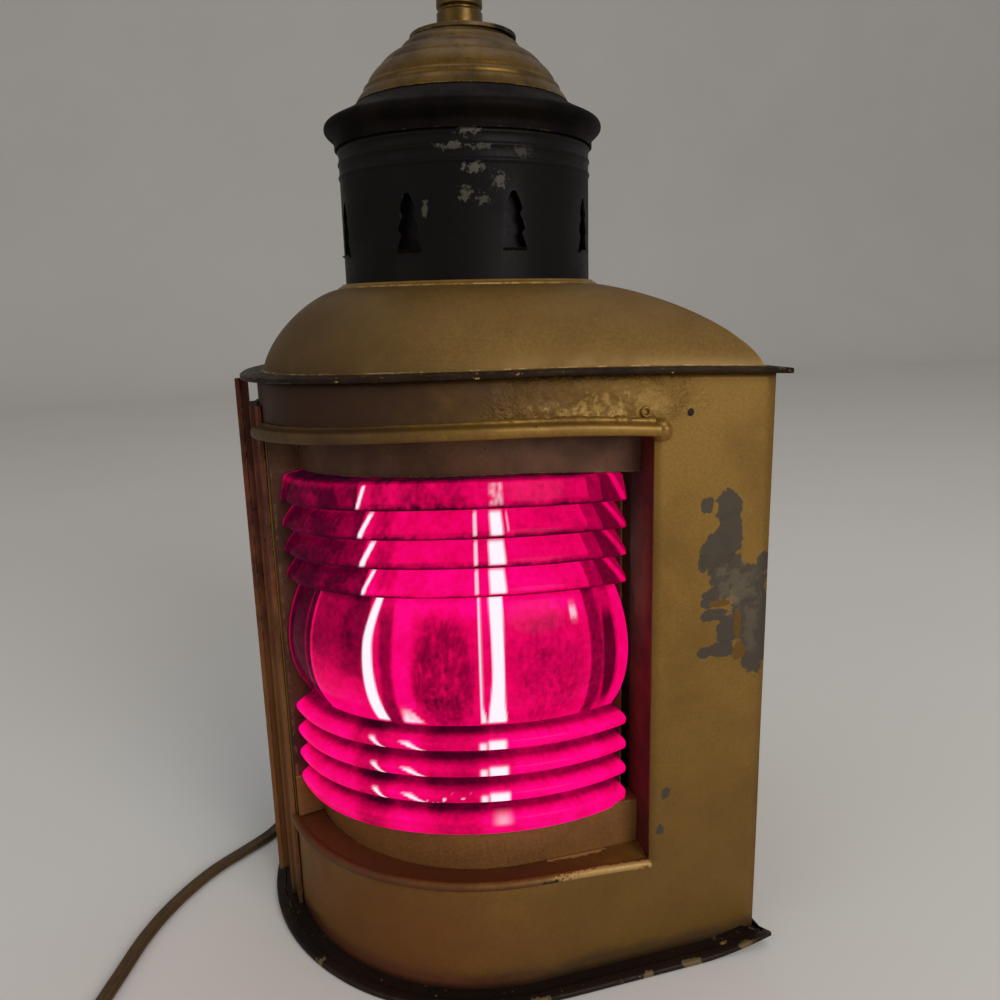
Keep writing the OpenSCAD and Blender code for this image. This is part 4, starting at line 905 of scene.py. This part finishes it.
def bubble(name, at, radius, thick, finish):    # a small ring that lies on the port side
    rings = []
    for a in (2 * pi * i / 28 for i in range(29)):
        turns = [2 * pi * k / 10 for k in range(10)]
        rings.append([(at[0] + thick * sin(b), at[1] + (radius + thick * cos(b)) * cos(a),
                       at[2] + (radius + thick * cos(b)) * sin(a)) for b in turns])
    return loft(name, rings, finish, caps=False, smooth=60)


def windowSill(finish):
    loops = []
    for out, z in rounded([(-11.3, 44.2), (-11.3, 45.0), (-1.4, 45.0), (-0.5, 45.9), (1.2, 46.1), (2.2, 45.0),
                           (2.0, 43.4), (0.9, 42.8), (0.12, 43.4), (0.0, 44.2)], 0.6, 2):
        share = min(1.0, max(0.0, (out + 7) / 7))
        loops.append([(x, y, z + share * sillArch(y) + noise.noise(Vector((x, y, z)) / 12) * 0.12 * share)
                      for x, y in portLine(out, windowSizes["aft"], windowSizes["sillFore"])])
    return loft("sill_shelf", list(zip(*loops)), finish, smooth=50)


for build, finish, node in ((windowHood, "hood_paint", "hood"), (windowSill, "sill_paint", "sill")):
    piece = build(finish)
    other = linked(piece.name + "_starboard", flipped(piece.data.copy()), finish)
    settle(piece, "gold_paint", "port_" + node)
    settle(other, "gold_paint", "starboard_" + node)
print("windows built")


# Lenses: painted light, so that the glow keeps its lines from every side

lensSizes = dict(low=63.5, inner=71.5, step=77.5, tip=84.5, out=85.5, ring=10.5, bulge=51.0, start=12.0,
                 end=118.0, steps=250)


def lensSection():
    low, inner, step, tip, ring, bulge = map(lensSizes.get, ("low", "inner", "step", "tip", "ring", "bulge"))
    marks = [(inner, low, 0.4)]                 # radius, height and how far a corner is rounded
    for i in range(4):                          # lower rings: a slope out, a rounded tip, a ledge
        z = low + i * ring
        marks += [(step, z + 0.2, 1.2), (step + 3.2, z + 2.2, 1.6)] if i else [(tip - 1.6, z, 2.0)]
        marks += [(tip, z + 4.2, 2.2), (tip + 0.4, z + ring - 2.9, 1.7)]
    foot = low + 4 * ring
    rise = lensSizes["out"] - step
    big = (bulge ** 2 / 4 + rise * rise) / (2 * rise)
    for k in range(29):
        v = -bulge / 2 + bulge * k / 28
        out = step + sqrt(big * big - v * v) - (big - rise)
        marks.append((out, foot + bulge / 2 + v, 0.8 if k in (0, 28) else 0))
    for i in range(4):                          # upper rings: a tip at the foot, then a slope in
        z = foot + bulge + i * ring
        marks += [(tip - 0.1, z + 0.7, 0.9), (tip - 0.5, z + 3.4, 1.8)]
        marks += [(step + 0.4, z + ring - 0.5, 0.7) if i < 3 else (tip - 2.4, z + ring, 1.6)]
    marks += [(inner, low + 8 * ring + bulge, 0.4)]
    shape = rounded([mark[:2] for mark in marks], [mark[2] for mark in marks], 4)
    dense = []
    for a, b in zip(shape, shape[1:] + shape[:1]):
        parts = max(1, int((Vector(b) - Vector(a)).length / 1.3)) if a[0] > inner + 0.1 else 1
        dense += [tuple(Vector(a).lerp(Vector(b), k / parts)) for k in range(parts)]
    return dense


def between(value, low, high, soft):            # 1 between low and high, with soft ends
    def step(x):
        x = min(1.0, max(0.0, x))
        return x * x * (3 - 2 * x)
    return step((value - low) / soft + 0.5) * step((high - value) / soft + 0.5)


def lensLight(a, z):                            # how hot, how white and how black the glass looks at a place
    def at(low, high, soft):                    # round the lens
        return between(a, low, high, soft)
    def up(low, high, soft):                    # up one ring, or up the bulge
        return between(f, low, high, soft)
    h, ring = z - lensSizes["low"], lensSizes["ring"]
    black = core = 0.0
    wob = noise.noise(Vector((a / 5, z / 7, 2.0)))
    fine = noise.noise(Vector((a / 1.1, z / 2.2, 9.0)))
    if h < 42:                                  # lower rings: a dark ledge over each lit crest
        f, k = (h % ring) / ring, int(h // ring)
        hot = 0.84 + 0.1 * wob - 0.4 * up(-0.2, 0.12 if k else -0.1, 0.16)
        hot -= (0.56 + 0.2 * wob) * up(0.86, 1.2, 0.14) + 0.24 * at(41, 51, 5)
        hot -= 0.2 * at(62, 76, 6) - 0.1 * at(86, 110, 6) * (1 + fine)
        hot += 0.2 * at(5, 17, 4) * up(0.2, 0.75, 0.2) + 0.08 * up(0.58, 0.74, 0.08)
        crest = up(0.3, 0.72, 0.1)
        lean, lean2 = 54.8 + (0.74 - f) * 15, 46.4 + (0.76 - f) * 9             # short strokes along the ring
        core = 0.4 * at(79.5, 83, 3) * up(0.5, 0.8, 0.2) if k == 0 else max(
            at(78.2, 83.4 - 0.3 * k, 0.9) * crest,
            0.9 * at(76.0, 77.6, 0.7) * up(0.34, 0.66, 0.12),
            0.95 * at(lean, lean + 2.9 - 4 * (0.74 - f), 0.9) * up(0.3, 0.7, 0.1),
            at(lean2, lean2 + 1.7 - 1.8 * (0.76 - f), 0.5) * up(0.28, 0.74, 0.1),
            0.7 * (fine > 0.4) * at(62, 76, 2) * (k == 1) * crest)
    elif h < 93:                                # the bulge, with two darker places in the painted glow
        f = (h - 42) / 51
        mottling = 0.5 + 0.9 * fine + 0.5 * noise.noise(Vector((a / 0.45, z / 2.0, 5.0)))
        mottling += 0.6 * noise.noise(Vector((a / 3.0, z / 6.0, 15.0)))
        left = between(1 - hypot((a - 67.6) / 8.6, (f - 0.42) / 0.5), 0.12, 9, 0.5)
        right = between(1 - hypot((a - 93.8) / 9.5, (f - 0.46) / 0.52), 0.1, 9, 0.6)
        arch, squared = sin(pi * f), (2 * f - 1) ** 2
        hot = 0.76 + 0.06 * wob - left * (0.1 + 0.28 * mottling) - right * (0.02 + 0.16 * mottling)
        hot -= 0.06 * at(60.5, 75.2, 3) * up(0.1, 0.9, 0.3) + 0.03 * at(85.4, 102, 5)
        hot -= 0.36 * at(50.2 + 1.5 * arch, 54.9, 1.6) * up(-0.1, 0.92, 0.3)
        hot += 0.24 * up(0.86, 1.2, 0.16) * at(55, 104, 5) + 0.15 * at(55.0, 60.0, 1.5)
        if a < 47.5:
            hot = 0.4 + 0.46 * up(-1, 0.4, 0.6) + 0.06 * wob - 0.12 * at(40, 47, 5) * (f > 0.4)
            hot += 0.3 * at(27.0, 28.2, 0.5)
        if a < 27.0:                            # the edge at the bow is nearly black, with two fine lit lines
            hot = 0.17 + 0.1 * up(-1, 0.3, 0.4) + 0.3 * at(24.2, 25.0, 0.6) + 0.45 * at(12.2, 13.6, 0.8)
            black = 0.35
        if a > 105.2:
            hot = 0.64 - 0.3 * at(105.2, 108.8, 1.0) * (1 + 0.4 * fine) + 0.2 * at(114.0, 119.0, 0.8)
            black = 0.85 * at(109.0 + 2.6 * squared, 113.2 - 0.5 * squared, 0.7) * up(0.1, 0.82, 0.14)
        hot -= 0.3 * up(0.965, 1.1, 0.03)
        line = 47.3 + 2.6 * up(0.9, 2, 0.5) - 0.4 * arch
        main = at(79.3 - 0.9 * up(-1, 0.25, 0.5) + 0.3 * arch, 82.9 + 0.5 * up(-1, 0.12, 0.2) - 0.5 * arch,
                  0.55)
        stroke = at(55.8 - 8 * (0.1 - f) * (f < 0.1), 58.4 + 22 * (0.14 - f), 1.4) * up(-0.2, 0.14, 0.1)
        core = up(0.02, 0.98, 0.03) * max(
            main, 0.85 * at(76.5, 77.05 + 0.9 * up(-1, 0.12, 0.16), 0.35),
            at(line - 0.2, line + 1.8 + 1.8 * (1 - f), 0.6), (0.7 + 0.5 * fine) * stroke)
        core = max(core, 0.55 * at(100.3, 102.2, 0.5) * up(0.8, 0.88, 0.05))
    else:                                       # upper rings, with a dark uneven line between them
        f, k = ((h - 93) % ring) / ring, min(3, int((h - 93) // ring))
        line = up(-0.2, 0.14 + 0.04 * wob + 0.03 * fine, 0.1)
        hot = 0.76 + 0.08 * wob + 0.05 * fine - 0.6 * line + (0.12, 0.02, 0.0, 0.0)[k]
        hot -= 0.3 * up(0.94, 1.2, 0.06) + (0.16 + 0.2 * wob + 0.16 * fine) * up(0.14, 0.28, 0.08) * (k > 0)
        hot -= (0.2 + 0.22 * fine) * at(58, 75, 5) * (k == 3) + 0.1 * at(96, 104, 4)
        hot -= 0.24 * at(51.0, 56, 1.5) * (0.7 + fine)
        if a < 47.2:
            hot = 0.2 + 0.12 * wob + 0.06 * fine - 0.15 * line + 0.16 * up(0.84, 0.95, 0.06)
            hot += 0.12 * at(41, 47, 5) * up(0.2, 0.8, 0.2) + 0.3 * at(12.0, 13.2, 0.6)
            black = 0.45 * at(0, 30 - 2 * k, 6) * up(0.15, 0.8, 0.2) * (0.8 + wob)
        if a > 105:                             # a bright stroke leans out toward the foot of the ring
            lean = 113.0 + 3.6 * (1 - f)
            hot = 0.62 - 0.14 * at(105, 109, 0.8) - 0.3 * line + 0.18 * at(lean - 0.4, lean + 1.4, 0.6)
            black = max(0.75 * at(109.2, lean - 0.6, 0.8) * up(0.1, 1.2, 0.12),
                        0.5 * at(lean + 1.6, 120, 0.6))
        inside, lean = up(0.19, 0.88, 0.08), 46.7 + 1.9 * f
        main = at(79.7 + 0.5 * (k > 1), 83.5 - 0.5 * (k > 1), 0.8) * (0.3 + 0.9 * fine if k == 3 else 1.0)
        core = max(main * inside, 0.75 * at(76.2, 76.8, 0.3) * inside * (k < 3),
                   0.6 * at(84.1, 84.4, 0.3) * up(0.3, 0.8, 0.1) * (k == 2),
                   at(lean, lean + (1.0, 1.5, 1.3, 0.9)[k], 0.45) * up(0.16, 0.88, 0.08))
    return [max(0.0, min(1.0, share)) for share in (hot, core, black)]


def makeLens(name, side, finish, node):
    lens = turned(name, lensSection(), finish, start=-90 + lensSizes["start"],
                  sweep=lensSizes["end"] - lensSizes["start"], steps=lensSizes["steps"], smooth=60)
    if side < 0:
        flipped(lens.data)
    values = []
    for v in lens.data.vertices:
        x, y, z = v.co / mm
        outside = hypot(x, y) >= lensSizes["inner"] + 1.0
        values += (lensLight(degrees(atan2(x * side, -y)), z) if outside else [0.5, 0.0, 0.0]) + [1.0]
    lens.data.attributes.new("light", "FLOAT_COLOR", "POINT").data.foreach_set("color", values)
    settle(sagged(lens), finish, node)


makeLens("port_lens_glass", 1, "red_glass", "port_lens")
makeLens("starboard_lens_glass", -1, "blue_green_glass", "starboard_lens")
print("lenses built")


webSizes = dict(turn=11.85, inner=76.2, out=87.4, half=0.4)
dividerSizes = dict(turn=11.9, inner=86.4, out=87.3, foot=62.0, head=200.0)


def band(node, finish, z0, z1):                 # a band, and the webs that close its ends at the bow
    obj = dressed(node, finish, "gold_paint")
    turn, inner, out, half = webSizes.values()
    a = radians(turn)
    for side in (-1, 1):
        (xa, ya), (xb, yb) = ((r * sin(a) * side, -r * cos(a)) for r in (inner, out))
        dx, dy = cos(a) * half, sin(a) * side * half
        ring = [(xa - dx, ya - dy), (xb - dx, yb - dy), (xb + dx, yb + dy), (xa + dx, ya + dy)]
        obj = joined(obj, loft("web", [[(x, y, z) for x, y in ring] for z in (z0, z1)], finish))
    return obj


def divider():                                  # its front follows the wall, so that no light passes
    turn, inner, out, foot, head = dividerSizes.values()
    arc = [-turn + 2 * turn * k / 12 for k in range(13)]
    ring = [onPlan(a, out) for a in arc] + [onPlan(a, inner) for a in reversed(arc)]
    front = loft("divider_front", [[(x, y, z) for x, y in ring] for z in (foot, head)], "chipped_gold")
    joined(dressed("lens_divider", "chipped_gold", "chipped_gold_paint"), front)


divider()
band("lower_lens_band", "low_band_paint", 45.4, 64.0)
sagged(band("upper_lens_band", "band_paint", 198.0, 231.0), **hoodDroop)


# Chimney: the shell with its vents, the crown, the stepped cap and the finial

chimneySizes = dict(radius=50.0, foot=263.5, high=56.5, sheet=0.8, bead=0.5, beads=(42.5, 47.5, 52.0),
                    vents=8, turn=7.0, ventFoot=11.8, sleeve=48)
ventHalf = [(5, 0), (4.8, 1.6), (2.9, 6.2), (4.3, 7.6), (3.9, 9.6), (2.2, 12.9), (3.4, 14.2), (2.6, 17),
            (0.8, 20.5)]


def roundChimney(name, piece):                  # one copy of the piece for each vent
    made = grown(name, [(0, 0, 0)], [], around, "chimney_paint", piece=piece, count=chimneySizes["vents"],
                 turn=radians(chimneySizes["turn"]))
    bpy.data.objects.remove(piece)
    return made


def chimneyWall():
    r, foot, sheet = (chimneySizes[key] for key in ("radius", "foot", "sheet"))
    finish, top = "chimney_paint", foot + chimneySizes["high"]
    section = [(r - sheet, foot), (r, foot)]
    for b in chimneySizes["beads"]:
        swell = [chimneySizes["bead"] * sin(pi * k / 6) ** 2 for k in range(7)]
        section += [(r + out, foot + b - 1.3 + 2.6 * k / 6) for k, out in enumerate(swell)]
    shell = turned("chimney_wall", section + [(r, top), (r - sheet, top)], finish, steps=192)
    z0 = foot + chimneySizes["ventFoot"]
    outline = ventHalf + [(-x, z) for x, z in reversed(ventHalf)]
    outline = rounded([(x, z0 + z) for x, z in outline], 0.5, 2)
    cutter = loft("vent_cutter", [[(x, y, z) for x, z in outline] for y in (-44.0, -56.0)], finish)
    cutters = roundChimney("vent_cutters", cutter)
    cut = shell.modifiers.new("vents", "BOOLEAN")
    cut.operation = "DIFFERENCE"
    cut.solver = "EXACT"
    cut.object = cutters
    shell.data = evaluated(shell)
    shell.modifiers.clear()
    bpy.data.objects.remove(cutters)
    shadeByAngle(shell.data, 35)
    lip = ((49.3, 0.2), (50.1, -0.1), (51.0, 0.5), (51.15, 0.9), (50.7, 0.75), (49.9, 0.35))
    rings = []                                  # a lip bent out at the foot of each vent
    for x in (-4.6 + 9.2 * i / 8 for i in range(9)):
        rings.append([(x, -sqrt(out * out - x * x), z0 + z + 0.12 * noise.noise(Vector((x, out, 3))))
                      for out, z in lip])
    lips = roundChimney("vent_lips", loft("vent_lip", rings, finish, smooth=50))
    high = foot + chimneySizes["sleeve"]        # a black sleeve behind the vents: painted shade that stands for the dark inside of the chimney
    section = [(45.2, foot), (45.8, foot), (45.8, high), (45.2, high)]
    sleeve = turned("draught_sleeve", section, finish, steps=96)
    settle(joined(shell, lips, sleeve), "black_paint", "chimney_shell")


def sheetSection(path, thick=0.8, radius=0.9):  # a bent sheet's closed section, from its outer line
    line = [Vector(p) for p in rounded(path, radius, closed=False)]
    inner = []
    for i, p in enumerate(line):
        ahead = (line[min(len(line) - 1, i + 1)] - line[max(0, i - 1)]).normalized()
        inner.append(p + Vector((-ahead.y, ahead.x)) * thick)
    return [tuple(p) for p in line + inner[::-1]]


def crownSection(foot=320.0):
    return sheetSection([(r, foot + z) for r, z in (
        (51.4, -3.5), (51.4, -0.6), (53.6, 1.4), (55.0, 2.8), (55.1, 4.6), (54.2, 6.0), (52.0, 7.1),
        (48.6, 8.7), (45.2, 10.5), (42.2, 12.7), (40.6, 14.9), (39.0, 16.6), (33, 16.6))])


def capSection(seat=337.4, wide=39.0, narrow=19.6, high=20.4):
    steps = [(1, 0), (1, 0.06), (0.98, 0.1), (0.92, 0.12), (0.89, 0.22), (0.81, 0.33), (0.72, 0.42),
             (0.66, 0.46), (0.62, 0.52), (0.5, 0.63), (0.36, 0.71), (0.26, 0.75), (0.22, 0.81),
             (0.155, 0.89), (0.06, 0.94), (0, 1)]
    path = [(42.4, seat - 4.4), (41.5, seat - 2.8), (40.4, seat - 1.2)]
    path += [(narrow + (wide - narrow) * a, seat + high * b) for a, b in steps]
    return sheetSection(path + [(5.05, seat + high)])


def finialSection(seat=373.4, ball=6.4):
    foot = rounded([(0, 9), (5.05, 9), (5.05, 0), (7.6, 0), (8, 1), (7.6, 2.2), (6.4, 3), (6.0, 6.3),
                    (6.4, 9.6), (7.2, 10.4), (7, 11.6), (4.4, 12.6), (3.5, 13.6)], 0.35, 2, closed=False)
    top = [(ball * sin(a), 17.6 - ball * cos(a)) for a in (radians(36 + 8 * k) for k in range(18))]
    return [(r, seat + z) for r, z in foot + top + [(0, 24.0)]]


collar = rounded([(50.1, 263.4), (53.4, 263.4), (53.2, 264.2), (51.9, 264.5), (51.5, 265.3), (50.1, 265.3)],
                 0.4, 2)
neck = rounded([(5.05, 359.4), (9.6, 359.4), (9.6, 360.8), (9.0, 361.3), (9.0, 367.4), (7.8, 368.0),
                (7.8, 368.8), (9.0, 369.4), (9.0, 372.6), (8.2, 373.4), (5.05, 373.4)], 0.3, 2)
chimneyWall()
for name, section, finish, steps, slot, node in (
        ("crown_sheet", crownSection(), "crown_paint", 192, "black_paint", "chimney_crown"),
        ("stepped_cap", capSection(), "cap_paint", 192, "gold_paint", "cap_dome"),
        ("chimney_bead", collar, "gold_paint", 192, "gold_paint", "chimney_collar"),
        ("neck_sleeve", neck, "brass", 96, "brass", "brass_neck"),
        ("finial_turning", finialSection(), "brass", 72, "brass", "finial")):
    settle(turned(name, section, finish, steps=steps), slot, node)
print("chimney built")


# Strain relief, ribbed like one that bends with the cord, and the rivets of the hinges

def strainRelief():
    section = [(0, 89.0), (6.4, 89.0), (6.4, 90.2), (5.0, 90.2), (5.0, 91.0), (7.0, 91.0), (7.0, 92.6),
               (5.6, 93.6)]
    for r, y in ((5.5 - 0.24 * k, 94.2 + 3.4 * k) for k in range(6)):
        section += [(r, y), (r, y + 1.9), (r - 1.1, y + 2.2), (r - 1.15, y + 3.1)]
    section = rounded(section + [(4.1, 114.6), (4.0, 115.0), (0, 115.0)], 0.25, 2)
    relief = turned("strain_relief", section, "rubber", steps=48)
    relief.data.transform(Matrix.Translation((0, 0, 0.014)) @ Matrix.Rotation(-pi / 2, 4, "X"))
    settle(outward(relief), "black_rubber", "cord_bushing")


rivetSizes = dict(shank=0.0014, head=0.0026, dome=0.0011)
hingePlaces = dict(heights=(58.0, 170.0), apart=18)


def hingeRivets(name, x, y, grip, body, node):
    places = [(x, y, z + s * hingePlaces["apart"] / 2) for z in hingePlaces["heights"] for s in (-1, 1)]
    settle(grown(name, places, [], rivets, "steel", grip=grip, **rivetSizes), "steel", node, body=body)


strainRelief()
hingeRivets("rivets_on_frame", -64.4, 90.2, 0.0016, "lantern", "frame_rivets")
hingeRivets("rivets_on_door", -44.2, 91.3, 0.0024, "door", "door_rivets")
print("fastenings built")


# Pieces whose CAD shape is right: a merged copy with softened edges and its own finish

plainPieces = [
    ("gold_paint", "gold_paint", "lantern", 0.25, "back_frame"),
    ("jamb_paint", "gold_paint", "lantern", 0.25, "port_jamb starboard_jamb"),
    ("chipped_gold", "chipped_gold_paint", "lantern", 0.25, "port_lens_strip starboard_lens_strip"),
    ("post_paint", "chipped_gold_paint", "lantern", 0.3, "bow_post"),
    ("washer_paint", "black_paint", "lantern", 0.3, "cap_washer"),
    ("brass", "brass", "lantern", 0.3, "neck_nipple neck_nut holder_nipple holder_nut holder_cap "
     "holder_shell bulb_base frame_hinge_leaves"),
    ("steel", "steel", "lantern", 0.2, "holder_bracket hinge_pins button_stud"),
    ("insulator", "insulator", "lantern", 0.3, "holder_core"),
    ("insulator", "insulator", "key", 0.4, "turn_key"),
    ("clear_glass", "clear_glass", "lantern", 0.0, "bulb_glass"),
    ("filament", "filament", "lantern", 0.0, "bulb_mount"),
    ("cord", "brown_cord", "lantern", 0.0, "inner_lead"),
    ("gold_paint", "gold_paint", "door", 0.25, "back_door"),
    ("brass", "brass", "door", 0.2, "door_hinge_leaves"),
    ("brass", "brass", "button", 0.3, "turn_button")]
fin = dressed("bow_fin", "post_paint", "chipped_gold_paint")
fin.data.transform(Matrix.Translation((0, 0.6 * mm, 0)))         # its foot is let into the post
for finish, slot, body, edge, nodes in plainPieces:
    for node in nodes.split():
        dressed(node, finish, slot, body, edge)
print("plain pieces dressed")


# Floor, backdrop and light

studio = dict(floor=(214, 210, 204), shade=(206, 201, 194), key=19.0, fill=2.6, top=2.2, ambient=0.37,
              half=4000, back=-2200, turn=800, high=3000)


def softLamp(name, at, aim, size, power):
    data = bpy.data.lights.new(name, "AREA")
    data.shape = "DISK"
    data.size = size
    data.energy = power
    lamp = bpy.data.objects.new(name, data)
    lamp.location = at
    lamp.rotation_euler = (Vector(aim) - Vector(at)).to_track_quat("-Z", "Y").to_euler()
    scene.collection.objects.link(lamp)


def makeStudio():
    finishes["floor"], tree, surface = newMaterial("floor_finish", {"Roughness": 0.8})
    tints = dict(tint=color(*studio["floor"]), other=color(*studio["shade"]))
    wire(surface, {"Base Color": use(tree, clouded, **tints, scale=3.0, detail=4.0)["Color"]})
    half, back, turn = (studio[key] for key in ("half", "back", "turn"))        # it turns up far behind
    rows = [(half, 0), (back, 0)]
    rows += [(back - turn * sin(a), turn - turn * cos(a)) for a in (radians(9 * k) for k in range(1, 11))]
    rows += [(back - turn, studio["high"])]
    points = [(x, y, z) for x, z in rows for y in (-half, half)]
    faces = [(2 * i, 2 * i + 1, 2 * i + 3, 2 * i + 2) for i in range(len(rows) - 1)]
    pieceFrom("floor", points, faces, "floor", 60)
    world = bpy.data.worlds.new("studio")
    world.use_nodes = True
    wire(world.node_tree.nodes["Background"], {"Color": (1, 1, 1, 1), "Strength": studio["ambient"]})
    scene.world = world
    softLamp("key", (1.6, 0.6, 0.85), (0, 0, 0.15), 1.1, studio["key"])
    softLamp("fill", (0.6, -1.4, 0.7), (0, 0, 0.15), 1.2, studio["fill"])
    softLamp("top", (-0.2, 0.1, 1.6), (0, 0, 0.2), 1.0, studio["top"])


makeStudio()
scene.view_settings.view_transform = "Standard"
print("studio ready")
